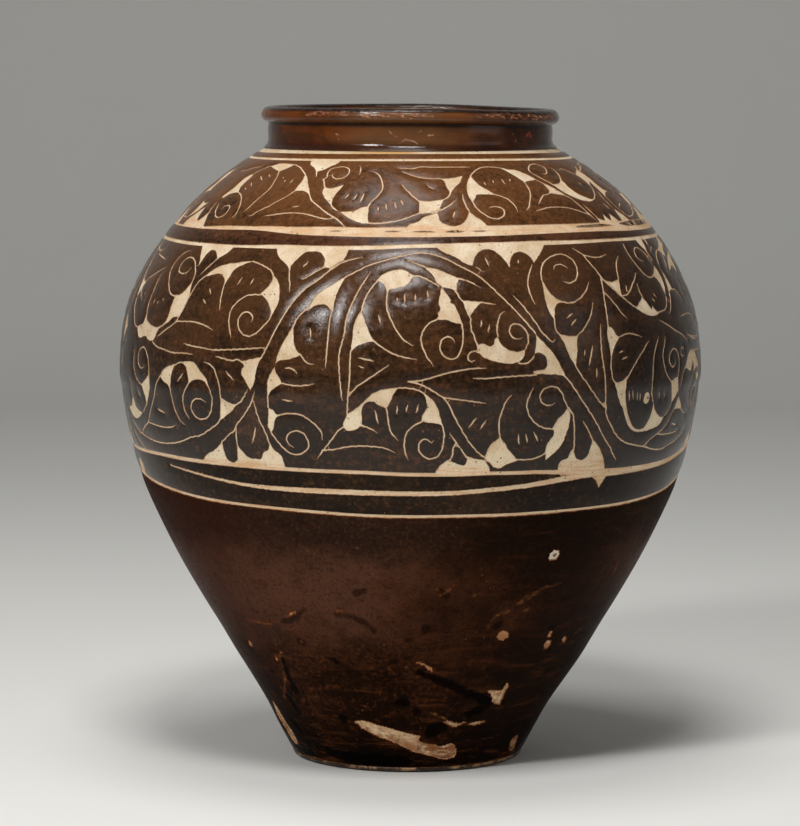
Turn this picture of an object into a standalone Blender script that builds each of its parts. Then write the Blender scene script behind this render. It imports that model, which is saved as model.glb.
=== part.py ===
"""Ovoid storage jar: thrown stoneware sections luted together, under white slip and a dark glaze.

The outside is one turned outline. Each clay section, slip coat and glaze coat is a stretch of that
outline, set in from it by the coats that lie over it. The rings cut through the glaze are the gaps
between the glaze coats. Z is up, and the jar stands on z = 0 with its axis on the origin.
"""

import math

import bpy

# Driving dimensions, in metres
HEIGHT = 0.400
BELLY_RADIUS = 0.1789
BELLY_HEIGHT = 0.238
FOOT_RADIUS = 0.0720
NECK_RADIUS = 0.0869
NECK_HEIGHT = 0.0249
NECK_FLARE = 0.0028
RIM_OVERHANG = 0.0043
RIM_ROLL_RADIUS = 0.0053

# The clay sections
WALL = 0.0085
FLOOR = 0.0090
SEAM_DROP = 0.0085
SEAM_STEP = 0.0013
TONGUE_HEIGHT = 0.0060
FOOT_EDGE_HEIGHT = 0.0025
FOOT_EDGE_ROUND = 0.0022
RESTING_RING_WIDTH = 0.0140
FOOT_RECESS = 0.0015
FOOT_RECESS_SLOPE = 0.0030
CLEARANCE = 0.0003

# The coats
GLAZE = 0.0008
SLIP = 0.0005
INNER_GLAZE = 0.0006
INNER_GLAZE_DROP = 0.0120
SLIP_MARGIN = 0.0060

# Bands and cut rings on the outside: down from the foot of the neck, then down from the belly
NECK_CUT = 0.0017
NECK_RING = 0.0020
SHOULDER_TOP_CUT = 0.0012
SHOULDER_BAND = 0.0380
SHOULDER_FOOT_CUT = 0.0052
DIVIDING_RING = 0.0047
BELLY_TOP_CUT = 0.0019
BELLY_BAND_DROP = 0.0447
BELLY_FOOT_CUT = 0.0018
UPPER_BORDER = 0.0095
BORDER_CUT = 0.0025
LOWER_BORDER = 0.0120
LAST_CUT = 0.0016

# Outline: (share of the height, share of the widening) from foot to belly, then from neck to belly
LOWER_BODY_SHARES = (
    (0.0, 0.0), (0.076, 0.090), (0.143, 0.163), (0.210, 0.250), (0.277, 0.342), (0.345, 0.430),
    (0.412, 0.521), (0.513, 0.650), (0.613, 0.762), (0.714, 0.861), (0.815, 0.930), (0.916, 0.974),
    (1.0, 1.0),
)
SHOULDER_SHARES = (
    (0.0, 0.0), (0.012, 0.028), (0.031, 0.078), (0.055, 0.138), (0.092, 0.226), (0.150, 0.349),
    (0.210, 0.461), (0.328, 0.628), (0.442, 0.757), (0.560, 0.858), (0.677, 0.934), (0.795, 0.978),
    (0.910, 0.996), (1.0, 1.0),
)
NECK_SHARES = ((0.0, 1.0), (0.11, 0.52), (0.24, 0.16), (0.42, 0.0), (0.70, 0.0))

# How finely the turned shapes are cut up
SEGMENTS = 40
LOWER_STATIONS = 3
MIDDLE_STATIONS = 1
UPPER_STATIONS = 6
ROLL_OUTER_STEPS = 4
ROLL_INNER_STEPS = 2
ROLL_TOP = math.radians(90)
ROLL_END = math.radians(180)
ROLL_START = math.radians(-55)
MERGE_DISTANCE = 0.00001
SHARP_ANGLE = math.radians(35)

COLLECTION_NAME = "ovoid_jar"

# Heights that several pieces share
NECK_BASE = HEIGHT - NECK_HEIGHT
SEAM = BELLY_HEIGHT - SEAM_DROP
GLAZE_BED = GLAZE + CLEARANCE
SLIP_BED = GLAZE_BED + SLIP + CLEARANCE
ROLL_RADIUS_AT_CENTRE = NECK_RADIUS + RIM_OVERHANG - RIM_ROLL_RADIUS
ROLL_HEIGHT_AT_CENTRE = HEIGHT - RIM_ROLL_RADIUS
ROLL_START_RADIUS = ROLL_RADIUS_AT_CENTRE + RIM_ROLL_RADIUS * math.cos(ROLL_START)
ROLL_START_HEIGHT = ROLL_HEIGHT_AT_CENTRE + RIM_ROLL_RADIUS * math.sin(ROLL_START)
BORE_RADIUS = ROLL_RADIUS_AT_CENTRE - RIM_ROLL_RADIUS
FLOOR_TOP = FLOOR + CLEARANCE

CLAY_COLOUR = (0.50, 0.36, 0.22)
SLIP_COLOUR = (0.68, 0.56, 0.39)
AMBER_COLOUR = (0.11, 0.035, 0.010)
SHOULDER_COLOUR = (0.060, 0.026, 0.014)
BELLY_COLOUR = (0.038, 0.018, 0.010)
LOWER_COLOUR = (0.045, 0.016, 0.010)
INNER_COLOUR = (0.040, 0.016, 0.008)


def band_heights():
    """The top and bottom height of each glaze coat below the neck, by name, and the last cut's foot."""
    bands = {}
    height = NECK_BASE
    above = (
        ("neck_ring_glaze", NECK_CUT, NECK_RING),
        ("shoulder_band_glaze", SHOULDER_TOP_CUT, SHOULDER_BAND),
        ("dividing_ring_glaze", SHOULDER_FOOT_CUT, DIVIDING_RING),
    )
    for name, cut, band in above:
        top = height - cut
        height = top - band
        bands[name] = (top, height)
    top = height - BELLY_TOP_CUT
    height = BELLY_HEIGHT - BELLY_BAND_DROP
    bands["belly_band_glaze"] = (top, height)
    below = (
        ("upper_border_glaze", BELLY_FOOT_CUT, UPPER_BORDER),
        ("lower_border_glaze", BORDER_CUT, LOWER_BORDER),
    )
    for name, cut, band in below:
        top = height - cut
        height = top - band
        bands[name] = (top, height)
    return bands, height - LAST_CUT


BANDS, LOWER_GLAZE_TOP = band_heights()
SLIP_EDGE = LOWER_GLAZE_TOP - SLIP_MARGIN


def outline_points():
    """(height, radius) points of the outside, from the foot up to the underside of the rim."""
    points = []
    for height_share, radius_share in LOWER_BODY_SHARES[:-1]:
        widening = radius_share * (BELLY_RADIUS - FOOT_RADIUS)
        points.append((height_share * BELLY_HEIGHT, FOOT_RADIUS + widening))
    points.append((SEAM, BELLY_RADIUS - SEAM_STEP))
    points.append((BELLY_HEIGHT, BELLY_RADIUS))
    neck_foot_radius = NECK_RADIUS + NECK_FLARE
    for height_share, radius_share in reversed(SHOULDER_SHARES[:-1]):
        widening = radius_share * (BELLY_RADIUS - neck_foot_radius)
        drop = height_share * (NECK_BASE - BELLY_HEIGHT)
        points.append((NECK_BASE - drop, neck_foot_radius + widening))
    for height_share, flare_share in NECK_SHARES[1:]:
        rise = height_share * (ROLL_START_HEIGHT - NECK_BASE)
        points.append((NECK_BASE + rise, NECK_RADIUS + flare_share * NECK_FLARE))
    points.append((ROLL_START_HEIGHT, ROLL_START_RADIUS))
    return sorted(points)


def smooth_value(points, place):
    """Read a smooth curve through points at one place along it."""
    index = 0
    while index < len(points) - 2 and points[index + 1][0] < place:
        index += 1
    before = points[max(index - 1, 0)]
    start = points[index]
    end = points[index + 1]
    after = points[min(index + 2, len(points) - 1)]
    length = end[0] - start[0]
    start_slope = (end[1] - before[1]) / (end[0] - before[0])
    end_slope = (after[1] - start[1]) / (after[0] - start[0])
    t = (place - start[0]) / length
    value = (2 * t ** 3 - 3 * t ** 2 + 1) * start[1]
    value += (t ** 3 - 2 * t ** 2 + t) * length * start_slope
    value += (3 * t ** 2 - 2 * t ** 3) * end[1]
    value += (t ** 3 - t ** 2) * length * end_slope
    return value


OUTLINE = outline_points()


def outline_slope(height):
    """How fast the outline widens with height."""
    reach = GLAZE / 2
    rise = smooth_value(OUTLINE, height + reach) - smooth_value(OUTLINE, height - reach)
    return rise / (2 * reach)


def outside(height, depth=0.0):
    """The (radius, height) point that lies depth inside the outline, square to it, from a height."""
    slope = outline_slope(height)
    length = math.hypot(1.0, slope)
    radius = smooth_value(OUTLINE, height)
    return (radius - depth / length, height + depth * slope / length)


def level(height, depth):
    """The (radius, height) point at exactly this height on the surface that lies depth inside."""
    length = math.hypot(1.0, outline_slope(height))
    return (smooth_value(OUTLINE, height) - depth * length, height)


def spread(low, high, count):
    """Values evenly spaced between two ends, without the ends themselves."""
    step = (high - low) / (count + 1)
    return [low + step * (index + 1) for index in range(count)]


def body_stations():
    """Heights where every coat and section of the body has a ring of points, from low to high."""
    heights = [FLOOR] + spread(FLOOR, SLIP_EDGE, LOWER_STATIONS)
    heights.append(SLIP_EDGE)
    heights += spread(SLIP_EDGE, SEAM, MIDDLE_STATIONS)
    heights += [SEAM, BELLY_HEIGHT]
    heights += spread(BELLY_HEIGHT, BANDS["neck_ring_glaze"][0], UPPER_STATIONS)
    return heights


STATIONS = body_stations()


def stretch(top, bottom, depth):
    """Points depth inside the outline, from a top height down to a bottom one."""
    between = [height for height in STATIONS if bottom < height < top]
    return [outside(height, depth) for height in [top] + between[::-1] + [bottom]]


def neck_stretch(bottom, depth):
    """Points depth inside the outline of the neck, from the underside of the rim down."""
    rise = ROLL_START_HEIGHT - NECK_BASE
    heights = [NECK_BASE + share * rise for share, _ in NECK_SHARES[1:]]
    between = [height for height in heights if bottom < height]
    return [outside(height, depth) for height in between[::-1] + [bottom]]


def roll(depth):
    """Points of the rolled rim, depth inside its surface, from the bore over the top and down outside."""
    angles = [ROLL_END] + spread(ROLL_END, ROLL_TOP, ROLL_INNER_STEPS - 1)
    angles += [ROLL_TOP] + spread(ROLL_TOP, ROLL_START, ROLL_OUTER_STEPS - 1) + [ROLL_START]
    points = []
    for angle in angles:
        radius = ROLL_RADIUS_AT_CENTRE + (RIM_ROLL_RADIUS - depth) * math.cos(angle)
        height = ROLL_HEIGHT_AT_CENTRE + (RIM_ROLL_RADIUS - depth) * math.sin(angle)
        points.append((radius, height))
    return points


def wall_inside(height, extra=0.0):
    """The point of the clay's inner face across from a height on the outside, extra further in."""
    return outside(height, SLIP_BED + WALL + extra)


def lower_inside(extra=0.0):
    """The inner face of the lower section, from the top of its tongue down to above the floor."""
    wide = [height for height in STATIONS if FLOOR < height < SEAM]
    points = [wall_inside(height, extra) for height in [SEAM] + wide[::-2]]
    return [(points[0][0], SEAM + TONGUE_HEIGHT)] + points


def upper_inside(extra=0.0):
    """The inner face of the upper section, from the foot of the neck down to the seam's tongue."""
    bore = BORE_RADIUS + GLAZE_BED - extra
    above = [height for height in STATIONS if height > BELLY_HEIGHT]
    points = []
    for height in above[::-2]:
        point = wall_inside(height, extra)
        if point[0] > bore + WALL / 2:
            points.append(point)
    under_neck = wall_inside(BANDS["neck_ring_glaze"][0], extra)
    return [(bore, under_neck[1])] + points


def material(name, colour, roughness):
    """A plain Principled material."""
    made = bpy.data.materials.new(name)
    made.use_nodes = True
    made.diffuse_color = (*colour, 1.0)
    shader = made.node_tree.nodes["Principled BSDF"]
    shader.inputs["Base Color"].default_value = (*colour, 1.0)
    shader.inputs["Roughness"].default_value = roughness
    shader.inputs["Metallic"].default_value = 0.0
    return made


def turned(name, profile, closed, collection, surface):
    """Turn a profile of (radius, height) points round the jar's axis into one solid."""
    mesh = bpy.data.meshes.new(name)
    vertices = [(radius, 0.0, height) for radius, height in profile]
    edges = [(index, index + 1) for index in range(len(vertices) - 1)]
    if closed:
        edges.append((len(vertices) - 1, 0))
    mesh.from_pydata(vertices, edges, [])
    piece = bpy.data.objects.new(name, mesh)
    collection.objects.link(piece)
    screw = piece.modifiers.new("turned", "SCREW")
    screw.axis = "Z"
    screw.angle = 2 * math.pi
    screw.steps = SEGMENTS
    screw.render_steps = SEGMENTS
    screw.use_merge_vertices = True
    screw.merge_threshold = MERGE_DISTANCE
    mesh.materials.append(material(name, *surface))
    return piece


def shade_round(piece):
    """Make the turned mesh real, and shade its round stretches smooth."""
    depsgraph = bpy.context.evaluated_depsgraph_get()
    mesh = bpy.data.meshes.new_from_object(piece.evaluated_get(depsgraph))
    piece.modifiers.clear()
    piece.data = mesh
    mesh.shade_smooth()
    mesh.set_sharp_from_angle(angle=SHARP_ANGLE)


def base_slab(collection):
    """The floor: a beaten disc, hollowed a little underneath so that it stands on a ring."""
    ring_edge = FOOT_RADIUS - FOOT_EDGE_ROUND
    ring_inside = ring_edge - RESTING_RING_WIDTH
    profile = [
        (0.0, FLOOR),
        level(FLOOR, GLAZE_BED),
        outside(FOOT_EDGE_HEIGHT, GLAZE_BED),
        outside(FOOT_EDGE_HEIGHT),
        outside(FOOT_EDGE_HEIGHT / 2),
        (ring_edge, 0.0),
        (ring_inside, 0.0),
        (ring_inside - FOOT_RECESS_SLOPE, FOOT_RECESS),
        (0.0, FOOT_RECESS),
    ]
    return turned("base_slab", profile, False, collection, (CLAY_COLOUR, 0.85))


def seam_faces():
    """The radii that the two halves of the belly's lap joint meet at."""
    middle = wall_inside(SEAM)[0] + WALL / 2
    return middle - CLEARANCE / 2, middle + CLEARANCE / 2


def lower_wall(collection):
    """The lower section, from the floor to the belly, with a tongue that the upper one fits over."""
    tongue_face, _ = seam_faces()
    floor_edge = level(FLOOR_TOP, SLIP_BED + WALL)
    tongue_top = SEAM + TONGUE_HEIGHT
    profile = [
        (tongue_face, tongue_top),
        (tongue_face, SEAM),
        level(SEAM, SLIP_BED),
    ]
    profile += stretch(SEAM, SLIP_EDGE, SLIP_BED)[1:]
    profile += stretch(SLIP_EDGE - CLEARANCE, FLOOR_TOP, GLAZE_BED)[:-1]
    profile.append(level(FLOOR_TOP, GLAZE_BED))
    profile.append(floor_edge)
    profile += lower_inside()[::-1]
    return turned("lower_wall", profile, True, collection, (CLAY_COLOUR, 0.85))


def upper_wall(collection):
    """The upper section, from the belly in to the foot of the neck."""
    _, recess_face = seam_faces()
    recess_top = SEAM + TONGUE_HEIGHT + CLEARANCE
    top = BANDS["neck_ring_glaze"][0]
    bore = BORE_RADIUS + GLAZE_BED
    outer = stretch(top, SEAM, SLIP_BED)
    profile = [(bore, outer[0][1])] + outer[:-1]
    profile.append(level(SEAM + CLEARANCE, SLIP_BED))
    profile.append((recess_face, SEAM + CLEARANCE))
    profile.append((recess_face, recess_top))
    profile.append((wall_inside(SEAM)[0], recess_top))
    profile += upper_inside()[::-1]
    return turned("upper_wall", profile, True, collection, (CLAY_COLOUR, 0.85))


def neck_collar(collection):
    """The short upright neck, seated on the upper section and carrying the rim."""
    foot = outside(BANDS["neck_ring_glaze"][0], SLIP_BED)[1] + CLEARANCE
    bore = BORE_RADIUS + GLAZE_BED
    outer = neck_stretch(NECK_BASE, GLAZE_BED)
    top = outer[0][1]
    profile = [(bore, top)] + outer
    profile.append((outer[-1][0], foot))
    profile.append((bore, foot))
    return turned("neck_collar", profile, True, collection, (CLAY_COLOUR, 0.85))


def rolled_rim(collection):
    """The thick rolled lip on top of the neck."""
    bore = BORE_RADIUS + GLAZE_BED
    foot = neck_stretch(NECK_BASE, GLAZE_BED)[0][1] + CLEARANCE
    profile = roll(GLAZE_BED)
    profile.append((outside(foot, GLAZE_BED)[0], foot))
    profile.append((bore, foot))
    return turned("rolled_rim", profile, True, collection, (CLAY_COLOUR, 0.85))


def slip_coat(collection):
    """White slip over the upper part, which shows wherever the glaze is cut away."""
    top = BANDS["neck_ring_glaze"][0]
    outer = stretch(top, SLIP_EDGE, GLAZE_BED)
    inner = stretch(top, SLIP_EDGE, GLAZE_BED + SLIP)
    return turned("slip_coat", outer + inner[::-1], True, collection, (SLIP_COLOUR, 0.6))


def neck_glaze(collection):
    """The amber glaze over the neck and the rim, and a little way down inside."""
    inner_end = HEIGHT - INNER_GLAZE_DROP
    outer = [(BORE_RADIUS, inner_end)] + roll(0.0)
    outer += neck_stretch(NECK_BASE, 0.0)
    inner = [(BORE_RADIUS + GLAZE, inner_end)] + roll(GLAZE)
    inner += neck_stretch(NECK_BASE, GLAZE)
    return turned("neck_glaze", outer + inner[::-1], True, collection, (AMBER_COLOUR, 0.2))


def band_glaze(name, top, bottom, colour, collection):
    """One band of glaze on the outside, between two cut rings."""
    profile = stretch(top, bottom, 0.0) + stretch(top, bottom, GLAZE)[::-1]
    return turned(name, profile, True, collection, (colour, 0.3))


def inner_glaze(collection):
    """The glaze that lines the jar, from the floor up to where the rim's glaze ends."""
    near = CLEARANCE
    far = CLEARANCE + INNER_GLAZE
    top = HEIGHT - INNER_GLAZE_DROP - CLEARANCE
    sides = []
    for extra in (near, far):
        upper = upper_inside(extra)
        bore = upper[0][0]
        floor = FLOOR + extra
        floor_edge = level(floor, SLIP_BED + WALL + extra)
        line = [(bore, top)] + upper + lower_inside(extra) + [floor_edge, (0.0, floor)]
        sides.append(line)
    profile = sides[0][::-1] + sides[1]
    return turned("inner_glaze", profile[::-1], False, collection, (INNER_COLOUR, 0.3))


def main():
    """Build the jar."""
    for leftover in list(bpy.data.objects):
        bpy.data.objects.remove(leftover, do_unlink=True)
    collection = bpy.data.collections.new(COLLECTION_NAME)
    bpy.context.scene.collection.children.link(collection)
    foot_line = FOOT_EDGE_HEIGHT + CLEARANCE
    pieces = [
        base_slab(collection),
        lower_wall(collection),
        upper_wall(collection),
        neck_collar(collection),
        rolled_rim(collection),
        slip_coat(collection),
        neck_glaze(collection),
        inner_glaze(collection),
        band_glaze("lower_body_glaze", LOWER_GLAZE_TOP, foot_line, LOWER_COLOUR, collection),
    ]
    for name, (top, bottom) in BANDS.items():
        colour = BELLY_COLOUR if bottom < BELLY_HEIGHT else SHOULDER_COLOUR
        pieces.append(band_glaze(name, top, bottom, colour, collection))
    bpy.context.view_layer.update()
    for piece in pieces:
        shade_round(piece)


main()
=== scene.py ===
"""The looks of an ovoid stoneware jar: carved glaze bands over white slip, worn lower glaze and clay.

The turned outline is the one the jar's solids follow. The bands are laid out flat, as azimuth against
distance along the outline, carved there with windows, lines and ticks, and wrapped round the jar.
"""

import math

import bmesh
import bpy
import numpy as np
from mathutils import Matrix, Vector
from mathutils.geometry import delaunay_2d_cdt


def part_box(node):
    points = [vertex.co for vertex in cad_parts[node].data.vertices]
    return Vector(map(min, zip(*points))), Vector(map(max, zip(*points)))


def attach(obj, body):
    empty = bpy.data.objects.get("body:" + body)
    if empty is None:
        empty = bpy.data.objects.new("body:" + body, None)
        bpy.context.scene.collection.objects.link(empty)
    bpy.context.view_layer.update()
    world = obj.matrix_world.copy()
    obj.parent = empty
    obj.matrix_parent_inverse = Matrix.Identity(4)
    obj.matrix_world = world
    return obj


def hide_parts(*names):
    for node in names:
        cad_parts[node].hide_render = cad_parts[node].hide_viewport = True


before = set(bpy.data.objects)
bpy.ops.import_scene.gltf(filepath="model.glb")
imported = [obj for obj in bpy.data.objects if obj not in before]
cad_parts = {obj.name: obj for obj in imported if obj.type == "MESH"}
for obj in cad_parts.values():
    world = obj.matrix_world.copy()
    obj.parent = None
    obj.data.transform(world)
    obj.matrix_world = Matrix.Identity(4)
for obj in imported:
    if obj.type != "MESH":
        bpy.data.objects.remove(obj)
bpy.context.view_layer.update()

bl_info = {
    "name": "Carved ovoid jar",
    "version": (1, 0, 0),
    "blender": (4, 5, 0),
    "location": "View3D > Sidebar > Jar",
    "description": "Builds a glazed and carved stoneware jar round its CAD frame",
    "category": "Add Mesh",
}

# The turned outline, as in the solids: shares of the height and of the widening
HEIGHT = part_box("neck_glaze")[1][2]
BELLY_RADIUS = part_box("belly_band_glaze")[1][0]
BELLY_HEIGHT = 0.238
FOOT_RADIUS = 0.0720
NECK_RADIUS = 0.0869
NECK_HEIGHT = 0.0249
NECK_FLARE = 0.0028
RIM_OVERHANG = 0.0043
RIM_ROLL_RADIUS = 0.0053
SEAM_DROP = 0.0085
SEAM_STEP = 0.0013
NECK_BASE = HEIGHT - NECK_HEIGHT
SEAM = BELLY_HEIGHT - SEAM_DROP
ROLL_START = math.radians(-55)
ROLL_CENTRE_RADIUS = NECK_RADIUS + RIM_OVERHANG - RIM_ROLL_RADIUS
ROLL_CENTRE_HEIGHT = HEIGHT - RIM_ROLL_RADIUS
BORE_RADIUS = ROLL_CENTRE_RADIUS - RIM_ROLL_RADIUS

LOWER_BODY_SHARES = (
    (0.0, 0.0), (0.076, 0.090), (0.143, 0.163), (0.210, 0.250), (0.277, 0.342), (0.345, 0.430),
    (0.412, 0.521), (0.513, 0.650), (0.613, 0.762), (0.714, 0.861), (0.815, 0.930), (0.916, 0.974),
)
SHOULDER_SHARES = (
    (0.0, 0.0), (0.012, 0.028), (0.031, 0.078), (0.055, 0.138), (0.092, 0.226), (0.150, 0.349),
    (0.210, 0.461), (0.328, 0.628), (0.442, 0.757), (0.560, 0.858), (0.677, 0.934), (0.795, 0.978),
    (0.910, 0.996),
)
NECK_SHARES = ((0.11, 0.52), (0.24, 0.16), (0.42, 0.0), (0.70, 0.0))

# Height ranges that the drawn heights are shares of, in metres
BELLY_RANGE = (0.1930, 0.3205)
SHOULDER_RANGE = (0.3322, 0.3705)
LOW_RANGE = (0.150, 0.200)
MIDDLE_RANGE = (0.316, 0.336)
TOP_RANGE = (0.366, 0.380)
FOOT_RANGE = (0.0, 0.010)

# The carving, read off the photo: azimuth in degrees, then percent of the band's height.
# A c marks a corner, and ; ends a shape.

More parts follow.
